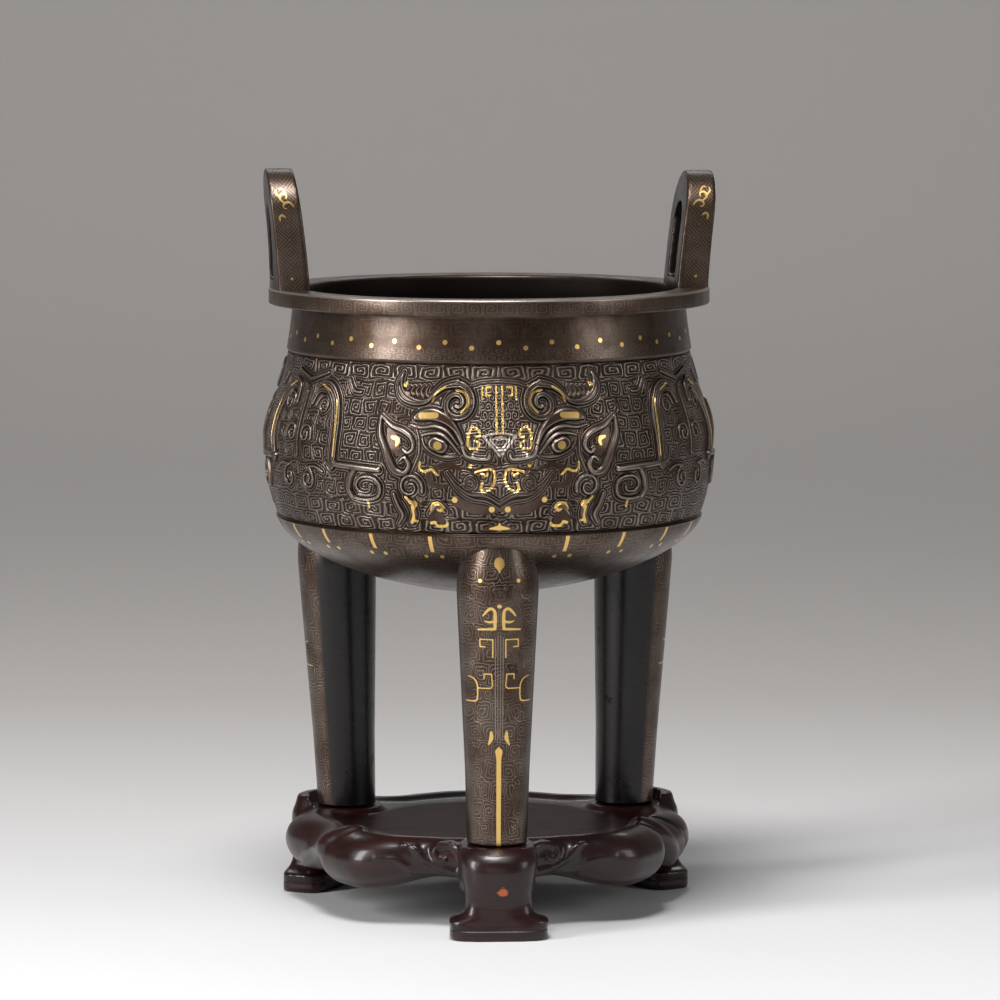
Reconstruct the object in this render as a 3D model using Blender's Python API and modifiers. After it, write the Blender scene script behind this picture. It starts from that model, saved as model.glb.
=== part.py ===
"""Bronze tripod censer with loop handles and a mask band, on its fitted hardwood stand.

Metres, +Z up. The origin is on the ground below the vessel's axis, and the front leg and the
front mask face -Y. The bronze is one casting: bowl, rim, two handles and three legs. The stand
is one carved piece, and the bronze only rests on it.
"""
import math

import bmesh
import bpy
from mathutils import Matrix, Vector

# Heights of the stand and of the casting, stacked from the ground up
SEAT_HEIGHT = 0.0281
FIT_GAP = 0.0003
UNDER_BOWL = 0.0731
BOWL_DEPTH = 0.0260
BAND_HEIGHT = 0.0520
NECK_HEIGHT = 0.0152
RIM_THICKNESS = 0.0052
HANDLE_RISE = 0.0380

# Radii and walls of the bowl
RIM_RADIUS = 0.0706
MOUTH_RADIUS = 0.0594
NECK_RADIUS = 0.0630
BAND_TOP_RADIUS = 0.0650
BELLY_RADIUS = 0.0720
BAND_FOOT_RADIUS = 0.0685
BOWL_WALL = 0.0028
FLOOR_WALL = 0.0034
FLOOR_FLAT_RADIUS = 0.0150
RIM_ROUND = 0.0007
BOWL_CURVE_POWER = 1.72
BELLY_SHARE = 0.50
BOWL_SIDES = 48

# The mask band: a field set back between two sunk lines, with the main forms standing on it
FIELD_DEPTH = 0.0009
BORDER_LINE = 0.0009
RELIEF_HEIGHT = 0.0017
RELIEF_ROOT = 0.0009
PANEL_HALF_WIDTH = 75.4
PANEL_HEIGHT = 51.5

# The two loop handles on the rim
HANDLE_TURN = math.radians(4.0)
HANDLE_HALF_WIDTH = 0.0155
HANDLE_FOOT_DEPTH = 0.0112
HANDLE_TOP_DEPTH = 0.0088
HANDLE_LEAN = 0.0021
HANDLE_HOLE_HALF = 0.0071
HANDLE_HOLE_LOW = 0.0025
HANDLE_HOLE_TOP = 0.0268
HANDLE_ROOT = 0.0030

# The three column legs
LEG_COUNT = 3
LEG_SIDES = 14
LEG_TOP_RADIUS = 0.0128
LEG_FOOT_RADIUS = 0.0094
LEG_TOP_CIRCLE = 0.0560
LEG_FOOT_CIRCLE = 0.0526
LEG_SHOULDER_HEIGHT = 0.0796
LEG_DOME_HEIGHT = 0.0240

# The stand: a round plate in a swollen border, with three feet and a round seat for each leg
PLATE_TOP = 0.0262
PLATE_RADIUS = 0.0405
PLATE_UNDERSIDE = 0.0135
SEAT_RADIUS = 0.0120
SEAT_RELIEF = 0.0004
BORDER_TOP = 0.0284
BORDER_FOOT = 0.0102
BORDER_NARROW_FOOT = 0.0156
BORDER_WIDTH = 0.0085
NARROW_RADIUS = 0.0500
LOBE_RADIUS = 0.0603
KNEE_RADIUS = 0.0672
CREASE_RADIUS = 0.0570
STAND_SIDES = 54
FOOT_RADIUS = 0.0708
FOOT_SIDES = 12
FRONT_HOOD = 0.0006
REAR_HOOD = 0.0032

# Angles from the front, in degrees, where the border is narrow, swollen, creased or at a knee
NARROW_AT = 24.0
LOBE_AT = 52.0
SIDE_CREASE_AT = 76.0
KNEE_AT = 106.0
KNEE_BACK_AT = 128.0
BACK_CREASE_AT = 150.0

# Places that follow from the sizes above
LEG_BASE = SEAT_HEIGHT + FIT_GAP
BOWL_BASE = LEG_BASE + UNDER_BOWL
BAND_BASE = BOWL_BASE + BOWL_DEPTH
BAND_TOP = BAND_BASE + BAND_HEIGHT
RIM_BASE = BAND_TOP + NECK_HEIGHT
RIM_TOP = RIM_BASE + RIM_THICKNESS
PANEL_ANGLE = math.pi / LEG_COUNT
FRONT = -math.pi / 2


def clear_scene():
    """Remove what the file holds at the start."""
    for item in list(bpy.data.objects):
        bpy.data.objects.remove(item, do_unlink=True)
    for group in list(bpy.data.collections):
        bpy.data.collections.remove(group)


def collection(name):
    """Make a collection in the scene."""
    group = bpy.data.collections.new(name)
    bpy.context.scene.collection.children.link(group)
    return group


def finish(name, colour, roughness, metallic):
    """Make a plain Principled material."""
    material = bpy.data.materials.new(name)
    material.use_nodes = True
    shader = material.node_tree.nodes["Principled BSDF"]
    shader.inputs["Base Color"].default_value = (*colour, 1.0)
    shader.inputs["Roughness"].default_value = roughness
    shader.inputs["Metallic"].default_value = metallic
    return material


def add_object(name, mesh, group):
    """Link a mesh as a new object in a collection."""
    item = bpy.data.objects.new(name, mesh)
    group.objects.link(item)
    return item


def make_cutter(item):
    """Mark an object as a construction shape, which is not a piece."""
    item.hide_render = True
    item.display_type = "WIRE"
    return item


def turned(name, profile, sides, group):
    """Turn a profile of (radius, height) points, given from top to bottom, round Z."""
    mesh = bpy.data.meshes.new(name)
    points = [(radius, 0.0, height) for radius, height in profile]
    edges = [(index, index + 1) for index in range(len(points) - 1)]
    mesh.from_pydata(points, edges, [])
    item = add_object(name, mesh, group)
    screw = item.modifiers.new("turning", "SCREW")
    screw.steps = sides
    screw.render_steps = sides
    screw.use_merge_vertices = True
    screw.merge_threshold = 0.00001
    screw.use_smooth_shade = True
    return item


def baked(item):
    """Replace an object by one that holds its evaluated mesh in world space."""
    depsgraph = bpy.context.evaluated_depsgraph_get()
    mesh = bpy.data.meshes.new_from_object(item.evaluated_get(depsgraph))
    mesh.transform(item.matrix_world)
    name = item.name
    group = item.users_collection[0]
    bpy.data.objects.remove(item, do_unlink=True)
    shape = bmesh.new()
    shape.from_mesh(mesh)
    bmesh.ops.remove_doubles(shape, verts=shape.verts, dist=0.00001)
    shape.to_mesh(mesh)
    shape.free()
    return add_object(name, mesh, group)


def loft(name, sections, group):
    """Skin rings of equal length, each a list of points, and close both ends."""
    shape = bmesh.new()
    rings = [[shape.verts.new(point) for point in section] for section in sections]
    for lower, upper in zip(rings, rings[1:]):
        count = len(lower)
        for index in range(count):
            following = (index + 1) % count
            shape.faces.new((lower[index], lower[following], upper[following], upper[index]))
    shape.faces.new(list(reversed(rings[0])))
    shape.faces.new(rings[-1])
    bmesh.ops.recalc_face_normals(shape, faces=shape.faces)
    mesh = bpy.data.meshes.new(name)
    shape.to_mesh(mesh)
    shape.free()
    return add_object(name, mesh, group)


def polar(radius, angle, height):
    """Give a point from its distance to the axis, its angle and its height."""
    return Vector((radius * math.cos(angle), radius * math.sin(angle), height))


def join_collection(item, group, operation):
    """Add a Boolean that joins or cuts with every object of a collection."""
    boolean = item.modifiers.new(operation.lower(), "BOOLEAN")
    boolean.operation = operation
    boolean.solver = "EXACT"
    boolean.operand_type = "COLLECTION"
    boolean.collection = group
    boolean.use_self = True
    return boolean


def side_radius(height):
    """Outline of the bowl's outer side: neck, swelling band and rounded bottom."""
    if height >= BAND_TOP:
        share = min(1.0, (RIM_BASE - height) / NECK_HEIGHT)
        return NECK_RADIUS + (BAND_TOP_RADIUS - NECK_RADIUS) * max(0.0, share) ** 1.3
    if height >= BAND_BASE:
        share = (height - BAND_BASE) / BAND_HEIGHT
        if share > BELLY_SHARE:
            fall = (1.0 - share) / (1.0 - BELLY_SHARE)
            swell = 0.35 * fall + 0.65 * fall * fall * (3.0 - 2.0 * fall)
            return BAND_TOP_RADIUS + (BELLY_RADIUS - BAND_TOP_RADIUS) * swell
        drop = (BELLY_SHARE - share) / BELLY_SHARE
        return BELLY_RADIUS - (BELLY_RADIUS - BAND_FOOT_RADIUS) * drop ** 3
    share = min(1.0, (BAND_BASE - height) / BOWL_DEPTH)
    return BAND_FOOT_RADIUS * (1.0 - share ** BOWL_CURVE_POWER) ** (1.0 / BOWL_CURVE_POWER)


def field_radius(height):
    """Outline of the sunk field that the mask stands on."""
    return side_radius(height) - FIELD_DEPTH


def bottom_stations(count):
    """Heights below the band, close together where the bottom turns under."""
    turns = [math.pi / 2 * (index + 1) / count for index in range(count)]
    return [BAND_BASE - BOWL_DEPTH * math.sin(turn) ** 1.15 for turn in turns]


def outer_profile():
    """Section of the outside from the rim's top to the bowl's underside, at +X."""
    profile = [
        (0.0, RIM_TOP),
        (RIM_RADIUS - RIM_ROUND, RIM_TOP),
        (RIM_RADIUS, RIM_TOP - RIM_ROUND),
        (RIM_RADIUS, RIM_BASE + RIM_ROUND),
        (RIM_RADIUS - RIM_ROUND, RIM_BASE),
        (NECK_RADIUS, RIM_BASE),
    ]
    neck = RIM_BASE - 0.5 * NECK_HEIGHT
    profile.append((side_radius(neck), neck))
    profile.append((side_radius(BAND_TOP + BORDER_LINE), BAND_TOP + BORDER_LINE))
    profile.append((field_radius(BAND_TOP), BAND_TOP))
    for share in (0.80, 0.62, 0.46, 0.17):
        height = BAND_BASE + share * BAND_HEIGHT
        profile.append((field_radius(height), height))
    profile.append((field_radius(BAND_BASE), BAND_BASE))
    profile.append((side_radius(BAND_BASE - BORDER_LINE), BAND_BASE - BORDER_LINE))
    for height in bottom_stations(5)[1:]:
        profile.append((side_radius(height), height))
    profile[-1] = (0.0, BOWL_BASE)
    return profile


def inner_profile():
    """Section of the hollow from above the mouth down to the inner floor, at +X."""
    overshoot = RIM_THICKNESS
    profile = [
        (0.0, RIM_TOP + overshoot),
        (MOUTH_RADIUS, RIM_TOP + overshoot),
        (MOUTH_RADIUS, RIM_BASE),
    ]
    for share in (1.0, 0.6, 0.0):
        height = BAND_BASE + share * BAND_HEIGHT
        profile.append((field_radius(height) - BOWL_WALL, height))
    floor = BOWL_BASE + FLOOR_WALL
    hollow = BAND_BASE - floor
    widest = field_radius(BAND_BASE) - BOWL_WALL
    for share in (0.45, 0.80):
        height = BAND_BASE - share * hollow
        radius = widest * (1.0 - share ** BOWL_CURVE_POWER) ** (1.0 / BOWL_CURVE_POWER)
        profile.append((radius, height))
    return profile + [(FLOOR_FLAT_RADIUS, floor), (0.0, floor)]


def smooth_path(points, pieces):
    """Run a smooth curve through a few points, each (across, up, half width)."""
    path = []
    last = len(points) - 1
    for index in range(last):
        before = Vector(points[max(0, index - 1)])
        start = Vector(points[index])
        end = Vector(points[index + 1])
        after = Vector(points[min(last, index + 2)])
        for step in range(pieces):
            t = step / pieces
            path.append(0.5 * (2.0 * start + (end - before) * t
                               + (2.0 * before - 5.0 * start + 4.0 * end - after) * t ** 2
                               + (3.0 * start - before - 3.0 * end + after) * t ** 3))
    path.append(Vector(points[last]))
    return path


def coil(centre, outer, inner, start, turn, steps, width):
    """Give the points of a flat spiral that winds in to its centre."""
    path = []
    for step in range(steps + 1):
        share = step / steps
        radius = outer + (inner - outer) * share
        angle = math.radians(start + turn * share)
        across = centre[0] + radius * math.cos(angle)
        up = centre[1] + radius * math.sin(angle)
        path.append(Vector((across, up, width * (1.0 - 0.45 * share))))
    return path


def on_band(across, up, rise, mask_angle, side):
    """Place a point of the mask's drawing on the bowl, which rises from the field there."""
    height = BAND_BASE + BAND_HEIGHT * up / PANEL_HEIGHT
    angle = mask_angle + side * PANEL_ANGLE * across / PANEL_HALF_WIDTH
    return polar(field_radius(height) + rise, angle, height)


def ridge(name, path, height, mask_angle, side, group):
    """Raise a ridge along a path of the drawing, with a root in the wall."""
    sections = []
    for index, place in enumerate(path):
        ahead = path[min(index + 1, len(path) - 1)]
        behind = path[max(index - 1, 0)]
        along = Vector((ahead.x - behind.x, ahead.y - behind.y))
        along.normalize()
        across = Vector((-along.y, along.x)) * place.z
        left = (place.x + across.x, place.y + across.y)
        right = (place.x - across.x, place.y - across.y)
        sections.append([
            on_band(left[0], left[1], -RELIEF_ROOT, mask_angle, side),
            on_band(place.x, place.y, height, mask_angle, side),
            on_band(right[0], right[1], -RELIEF_ROOT, mask_angle, side),
        ])
    return make_cutter(loft(name, sections, group))


def horn_path():
    """Horn: a pointed tip, a broad sweep and a coil above the brow."""
    sweep = smooth_path([(33.4, 48.0, 0.5), (33.4, 43.4, 2.0), (28.4, 41.4, 2.5),
                         (20.0, 45.4, 1.9)], 2)
    return sweep + coil((14.0, 40.2), 6.6, 2.6, 62.0, 340.0, 7, 1.8)


def brow_path():
    """Brow: a rounded outer end that thins down to the bridge of the nose."""
    return smooth_path([(28.0, 35.8, 1.0), (25.4, 36.6, 2.4), (19.0, 36.4, 2.3),
                        (13.6, 32.4, 1.7), (10.2, 27.2, 0.5)], 1)


def eye_path():
    """Eye: a slanting lens."""
    return smooth_path([(24.8, 29.4, 0.4), (21.6, 28.6, 2.9), (17.6, 27.2, 3.5),
                        (14.0, 25.8, 2.4), (11.6, 24.8, 0.4)], 1)


def ear_paths():
    """Ear: an outer edge that curls in at its foot, and the leaf's inner fold."""
    edge = smooth_path([(39.2, 35.4, 0.4), (38.0, 28.6, 1.9), (35.2, 21.6, 1.8), (31.6, 18.4, 1.4),
                        (29.4, 21.2, 1.1), (32.0, 22.8, 0.6)], 1)
    fold = smooth_path([(37.4, 32.8, 0.5), (31.4, 31.2, 1.4), (27.8, 28.0, 1.3),
                        (30.4, 25.4, 0.7)], 1)
    return [edge, fold]


def hook_paths():
    """Body hook beside the mask: a tall bent stem, a ledge below it and a squared coil."""
    stem = smooth_path([(57.6, 19.6, 2.4), (57.2, 31.0, 2.3), (61.0, 41.0, 2.2),
                        (67.0, 43.6, 2.0), (70.8, 38.6, 1.0)], 1)
    ledge = [Vector((60.8, 20.2, 1.2)), Vector((40.0, 19.4, 1.0))]
    limb = smooth_path([(49.4, 19.8, 1.1), (50.8, 11.0, 1.1), (41.2, 10.4, 1.0), (40.8, 16.2, 0.9),
                        (46.8, 15.6, 0.7)], 1)
    return [stem, ledge, limb]


def jaw_paths():
    """Mouth: the upper lip, the jaw line with its arch, the corner coil and the tusk."""
    lip = smooth_path([(25.4, 19.6, 0.6), (17.6, 18.4, 1.1), (11.4, 13.6, 1.1),
                       (4.6, 12.2, 1.0), (0.0, 14.8, 0.6)], 1)
    jaw = smooth_path([(24.6, 2.8, 0.6), (24.8, 9.0, 1.1), (20.6, 11.8, 1.1), (16.2, 8.0, 1.1),
                       (9.0, 3.2, 1.0), (3.0, 3.8, 1.0), (0.0, 6.8, 0.5)], 1)
    corner = coil((28.8, 14.4), 4.2, 1.6, -150.0, -360.0, 7, 1.3)
    tusk = smooth_path([(31.0, 11.0, 0.5), (27.6, 8.6, 1.5), (29.6, 3.0, 0.4)], 1)
    return [lip, jaw, corner, tusk]


def nose_path():
    """Nose: the line under the eye that turns in to the nostril."""
    return smooth_path([(10.2, 27.0, 0.5), (10.4, 23.2, 0.9), (3.4, 22.8, 0.5)], 1)


def stud(name, across, up, radius, height, mask_angle, side, group):
    """Raise a low six-sided stud, such as an eyeball."""
    rim = []
    for step in range(6):
        turn = math.pi / 3 * step
        rim.append((across + radius * math.cos(turn), up + radius * math.sin(turn)))
    root = [on_band(place[0], place[1], -RELIEF_ROOT, mask_angle, side) for place in rim]
    middle = on_band(across, up, height, mask_angle, side)
    crown = [middle.lerp(point, 0.45) + (middle - on_band(across, up, 0.0, mask_angle, side)) * 0.2
             for point in root]
    return make_cutter(loft(name, [root, crown], group))


def add_mask(mask_angle, label, group):
    """Add the main forms of one mask, both halves and the middle."""
    for side in (-1, 1):
        hand = "left" if side < 0 else "right"
        forms = [("horn", horn_path(), 1.0), ("brow", brow_path(), 1.15), ("eye", eye_path(), 0.8)]
        forms += [(f"ear{index}", path, 1.0) for index, path in enumerate(ear_paths())]
        forms += [(f"hook{index}", path, 1.0) for index, path in enumerate(hook_paths())]
        forms += [(f"jaw{index}", path, 0.7) for index, path in enumerate(jaw_paths())]
        forms.append(("nose", nose_path(), 0.6))
        for form, path, share in forms:
            ridge(f"{label}_{hand}_{form}", path, RELIEF_HEIGHT * share, mask_angle, side, group)
        stud(f"{label}_{hand}_eyeball", 18.8, 27.4, 2.1, RELIEF_HEIGHT, mask_angle, side, group)
    wedge = [Vector((0.0, 30.6, 5.4)), Vector((0.0, 24.4, 0.6))]
    ridge(f"{label}_forehead", wedge, RELIEF_HEIGHT * 0.5, mask_angle, 1, group)


def add_leg(angle, label, group):
    """Add one tapering leg, with a domed shoulder that runs into the bowl."""
    profile = []
    for step in range(6):
        turn = math.pi / 2 * step / 5
        height = LEG_SHOULDER_HEIGHT + LEG_DOME_HEIGHT * math.cos(turn)
        profile.append((LEG_TOP_RADIUS * math.sin(turn), height))
    knee = 0.30 * LEG_SHOULDER_HEIGHT
    profile.append((LEG_FOOT_RADIUS + 0.22 * (LEG_TOP_RADIUS - LEG_FOOT_RADIUS), knee))
    profile.append((LEG_FOOT_RADIUS, 0.0))
    profile.append((0.0, 0.0))
    leg = baked(turned(f"{label}_leg", profile, LEG_SIDES, group))
    lean = (LEG_TOP_CIRCLE - LEG_FOOT_CIRCLE) / LEG_SHOULDER_HEIGHT
    for vertex in leg.data.vertices:
        vertex.co.x += LEG_FOOT_CIRCLE + lean * vertex.co.z
        vertex.co.z += LEG_BASE
    leg.data.transform(Matrix.Rotation(angle, 4, "Z"))
    return make_cutter(leg)


def arch(half_width, low, top, straight, steps):
    """Outline of an upright opening or tab with a round head, anticlockwise from low right."""
    spring = top - half_width
    points = [(half_width, low + (spring - low) * index / straight) for index in range(straight)]
    for step in range(steps + 1):
        turn = math.pi * step / steps
        points.append((half_width * math.cos(turn), spring + half_width * math.sin(turn)))
    points += [(-half_width, spring - (spring - low) * (index + 1) / straight)
               for index in range(straight)]
    return points


def add_handle(angle, label, group):
    """Add one upright loop handle, thicker at its foot, which leans outwards."""
    curve = bpy.data.curves.new(f"{label}_handle", "CURVE")
    curve.dimensions = "2D"
    curve.fill_mode = "BOTH"
    curve.extrude = 0.5
    outlines = [arch(HANDLE_HALF_WIDTH, -HANDLE_ROOT, HANDLE_RISE, 3, 8),
                arch(HANDLE_HOLE_HALF, HANDLE_HOLE_LOW, HANDLE_HOLE_TOP, 2, 6)]
    for outline in outlines:
        spline = curve.splines.new("POLY")
        spline.points.add(len(outline) - 1)
        spline.use_cyclic_u = True
        for point, place in zip(spline.points, outline):
            point.co = (place[0], place[1], 0.0, 1.0)
    item = bpy.data.objects.new(f"{label}_handle", curve)
    group.objects.link(item)
    bpy.context.view_layer.update()
    handle = baked(item)
    for vertex in handle.data.vertices:
        across, rise, side = vertex.co
        share = max(0.0, rise / HANDLE_RISE)
        depth = HANDLE_FOOT_DEPTH + (HANDLE_TOP_DEPTH - HANDLE_FOOT_DEPTH) * share
        outside = RIM_RADIUS - RIM_ROUND + HANDLE_LEAN * share ** 1.6
        radius = outside - depth * (0.5 - side)
        vertex.co = (radius, across, RIM_TOP + rise)
    handle.data.transform(Matrix.Rotation(angle, 4, "Z"))
    shape = bmesh.new()
    shape.from_mesh(handle.data)
    bmesh.ops.recalc_face_normals(shape, faces=shape.faces)
    shape.to_mesh(handle.data)
    shape.free()
    return make_cutter(handle)


def build_censer(parts, cutters):
    """Build the bronze casting."""
    added = bpy.data.collections.new("censer_additions")
    cutters.children.link(added)
    hollow = bpy.data.collections.new("censer_hollow")
    cutters.children.link(hollow)
    for index, label in enumerate(("front", "right", "left")):
        angle = FRONT + index * 2.0 * PANEL_ANGLE
        add_leg(angle, label, added)
        add_mask(angle, label, added)
    add_handle(HANDLE_TURN, "right", added)
    add_handle(HANDLE_TURN + math.pi, "left", added)
    make_cutter(turned("bowl_hollow", inner_profile(), BOWL_SIDES, hollow))
    censer = turned("bronze_censer", outer_profile(), BOWL_SIDES, parts)
    join_collection(censer, added, "UNION")
    join_collection(censer, hollow, "DIFFERENCE")
    censer.data.materials.append(finish("dark_bronze", (0.062, 0.044, 0.031), 0.42, 0.85))
    return censer


def mix(low, high, share):
    """Value between two ends."""
    return low + (high - low) * share


def border_stations():
    """Half plan of the border: angle from the front, outer radius, and how full the section is."""
    return [
        (0.0, NARROW_RADIUS, 0.3),
        (NARROW_AT, NARROW_RADIUS, 0.0),
        (LOBE_AT, LOBE_RADIUS, 1.0),
        (0.5 * (LOBE_AT + SIDE_CREASE_AT), LOBE_RADIUS, 1.0),
        (SIDE_CREASE_AT, CREASE_RADIUS, 0.7),
        (KNEE_AT, KNEE_RADIUS, 1.0),
        (KNEE_BACK_AT, KNEE_RADIUS, 1.0),
        (BACK_CREASE_AT, CREASE_RADIUS, 0.7),
        (180.0, LOBE_RADIUS, 1.0),
    ]


def border_at(angle):
    """Outer radius and fullness of the border at an angle, eased between its stations."""
    from_front = abs((math.degrees(angle - FRONT) + 180.0) % 360.0 - 180.0)
    stations = border_stations()
    for low, high in zip(stations, stations[1:]):
        if from_front <= high[0]:
            share = (from_front - low[0]) / (high[0] - low[0])
            share = share * share * (3.0 - 2.0 * share)
            return mix(low[1], high[1], share), mix(low[2], high[2], share)
    return stations[-1][1], stations[-1][2]


def stand_section(angle):
    """Section of plate and border at one angle, from the top's middle to the underside's."""
    widest, full = border_at(angle)
    foot = mix(BORDER_NARROW_FOOT, BORDER_FOOT, full)
    crest = widest - mix(0.55, 1.0, full) * BORDER_WIDTH
    ledge = mix(PLATE_TOP, BORDER_TOP, 0.2)
    return [
        (PLATE_RADIUS, PLATE_TOP),
        (mix(PLATE_RADIUS, crest, 0.45), ledge),
        (crest, BORDER_TOP),
        (mix(crest, widest, 0.74), mix(BORDER_TOP, foot, 0.20)),
        (widest, mix(BORDER_TOP, foot, 0.52)),
        (mix(crest, widest, 0.55), mix(BORDER_TOP, foot, 0.86)),
        (crest - 0.0015, foot),
        (PLATE_RADIUS - 0.0045, mix(foot, PLATE_UNDERSIDE, 0.6)),
    ]


def foot_section(height, circle, half_width, half_depth):
    """One level section of a foot: a rounded block across the radius."""
    ring = []
    for step in range(FOOT_SIDES):
        turn = 2.0 * math.pi * (step + 0.5) / FOOT_SIDES
        across = math.copysign(abs(math.cos(turn)) ** 0.62, math.cos(turn)) * half_width
        along = math.copysign(abs(math.sin(turn)) ** 0.62, math.sin(turn)) * half_depth
        ring.append((circle + along, across, height))
    return ring


def add_foot(angle, hood, label, group):
    """Add one cabriole foot: wings at the shoulder, a slim ankle, side hooks and a base."""
    top = SEAT_HEIGHT + hood
    levels = [
        (0.0, 0.0149, 0.0156),
        (0.0044, 0.0148, 0.0154),
        (0.0064, 0.0153, 0.0146),
        (0.0086, 0.0112, 0.0118),
        (0.0135, 0.0103, 0.0140),
        (0.0205, 0.0120, 0.0186),
        (0.0246, 0.0156, 0.0206),
        (SEAT_HEIGHT - 0.0010, 0.0140, 0.0200),
        (top, 0.0118, 0.0172),
    ]
    sections = []
    for height, half_width, depth in levels:
        inset = 0.0012 if 0.006 < height < 0.016 else 0.0
        if height == top:
            inset = 0.0018
        outside = FOOT_RADIUS - inset
        sections.append(foot_section(height, outside - depth / 2, half_width, depth / 2))
    foot = loft(f"{label}_foot", sections, group)
    foot.data.transform(Matrix.Rotation(angle, 4, "Z"))
    return make_cutter(foot)


def add_disc(name, angle, radius, low, high, group):
    """Add an upright disc under a leg, between two heights."""
    shape = bmesh.new()
    place = Matrix.Translation((LEG_FOOT_CIRCLE, 0.0, (high + low) / 2))
    bmesh.ops.create_cone(shape, cap_ends=True, segments=18, radius1=radius, radius2=radius,
                          depth=high - low, matrix=Matrix.Rotation(angle, 4, "Z") @ place)
    mesh = bpy.data.meshes.new(name)
    shape.to_mesh(mesh)
    shape.free()
    return make_cutter(add_object(name, mesh, group))


def build_stand(parts, cutters):
    """Build the hardwood stand."""
    added = bpy.data.collections.new("stand_additions")
    cutters.children.link(added)
    clearing = bpy.data.collections.new("stand_clearing")
    cutters.children.link(clearing)
    for index, label in enumerate(("front", "right", "left")):
        angle = FRONT + index * 2.0 * PANEL_ANGLE
        hood = FRONT_HOOD if index == 0 else REAR_HOOD
        add_foot(angle, hood, label, added)
        add_disc(f"{label}_seat", angle, SEAT_RADIUS, PLATE_UNDERSIDE + SEAT_RELIEF,
                 SEAT_HEIGHT + SEAT_RELIEF, added)
        add_disc(f"{label}_socket", angle, SEAT_RADIUS + SEAT_RELIEF, SEAT_HEIGHT,
                 SEAT_HEIGHT + REAR_HOOD + SEAT_RADIUS, clearing)
    shape = bmesh.new()
    rings = []
    for step in range(STAND_SIDES):
        angle = FRONT + 2.0 * math.pi * step / STAND_SIDES
        section = stand_section(angle)
        rings.append([shape.verts.new(polar(radius, angle, height)) for radius, height in section])
    for ring, following in zip(rings, rings[1:] + rings[:1]):
        for index in range(len(ring) - 1):
            shape.faces.new((ring[index], ring[index + 1], following[index + 1], following[index]))
    shape.faces.new([ring[0] for ring in rings])
    shape.faces.new([ring[-1] for ring in reversed(rings)])
    bmesh.ops.recalc_face_normals(shape, faces=shape.faces)
    mesh = bpy.data.meshes.new("hardwood_stand")
    shape.to_mesh(mesh)
    shape.free()
    stand = add_object("hardwood_stand", mesh, parts)
    join_collection(stand, added, "UNION")
    join_collection(stand, clearing, "DIFFERENCE")
    stand.data.materials.append(finish("polished_hardwood", (0.030, 0.010, 0.008), 0.25, 0.0))
    return stand


def main():
    """Build both pieces."""
    clear_scene()
    parts = collection("bronze_tripod_censer")
    cutters = collection("cutters")
    build_censer(parts, cutters)
    build_stand(parts, cutters)


main()
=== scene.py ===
"""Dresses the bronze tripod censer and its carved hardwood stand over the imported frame.

The bronze is modelled as a turned bowl with three mask panels, three legs and two loop handles. The
drawing of the mask is kept as strokes in millimetres, which raise the relief and mark the inlay.
"""

import logging
import math
from dataclasses import dataclass
from enum import Enum

import bmesh
import bpy
import numpy as np
from mathutils import Matrix, Vector, noise


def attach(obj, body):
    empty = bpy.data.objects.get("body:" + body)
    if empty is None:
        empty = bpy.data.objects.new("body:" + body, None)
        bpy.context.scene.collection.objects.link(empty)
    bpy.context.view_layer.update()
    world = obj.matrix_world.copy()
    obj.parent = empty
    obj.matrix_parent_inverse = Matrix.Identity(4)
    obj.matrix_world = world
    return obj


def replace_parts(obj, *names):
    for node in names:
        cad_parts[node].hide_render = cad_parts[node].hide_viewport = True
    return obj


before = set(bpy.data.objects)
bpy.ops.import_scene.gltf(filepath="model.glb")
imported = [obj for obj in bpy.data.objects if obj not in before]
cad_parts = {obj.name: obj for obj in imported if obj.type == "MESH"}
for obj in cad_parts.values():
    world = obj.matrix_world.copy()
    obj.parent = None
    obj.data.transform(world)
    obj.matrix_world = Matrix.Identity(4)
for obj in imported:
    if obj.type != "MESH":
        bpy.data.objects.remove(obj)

LOG = logging.getLogger("censer")
MM = 0.001
FULL_TURN = 2.0 * math.pi
THIRD_TURN = math.pi / 1.5
LEG_ANGLES = tuple(-math.pi / 2 + index * THIRD_TURN for index in range(3))
HANDLE_TURN = math.radians(4.0)
# Arc from a mask's middle to the border with the next mask, in millimetres
HALF_PANEL = 75.4

Point = tuple[float, float, float]


def linear(code: str) -> tuple[float, float, float, float]:
    """Turns an sRGB hex colour to linear RGBA.

    Args:
        code: the colour as "#rrggbb".

    Returns:
        Red, green, blue and alpha for a shader socket.
    """
    parts = [int(code[index:index + 2], 16) / 255.0 for index in (1, 3, 5)]
    values = [part / 12.92 if part <= 0.04045 else ((part + 0.055) / 1.055) ** 2.4
              for part in parts]
    return (values[0], values[1], values[2], 1.0)


class Graph:
    """A material's node tree."""

    def __init__(self, name: str) -> None:
        """Makes the material with an empty tree.

        Args:
            name: the material's name.
        """
        self.material = bpy.data.materials.new(name)
        self.material.use_nodes = True
        self.tree = self.material.node_tree
        self.tree.nodes.clear()

    def add(self, kind: str, *inputs: object, **settings: object) -> bpy.types.Node:
        """Adds one node with its settings and links.

        Args:
            kind: the node's type without its ShaderNode prefix.
            inputs: values, nodes or sockets by position, None to skip one, or a dict of them
                by socket name.
            settings: properties of the node.

        Returns:
            The new node.
        """
        node = self.tree.nodes.new("ShaderNode" + kind)
        for key, value in settings.items():
            setattr(node, key, value)
        wanted = dict(enumerate(inputs))
        if inputs and isinstance(inputs[0], dict):
            wanted = inputs[0]
        for key, value in wanted.items():
            if value is None:
                continue
            if isinstance(value, bpy.types.Node):
                value = next(socket for socket in value.outputs if socket.enabled)
            if isinstance(value, bpy.types.NodeSocket):
                self.tree.links.new(value, node.inputs[key])
            else:
                node.inputs[key].default_value = value
        return node


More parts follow.
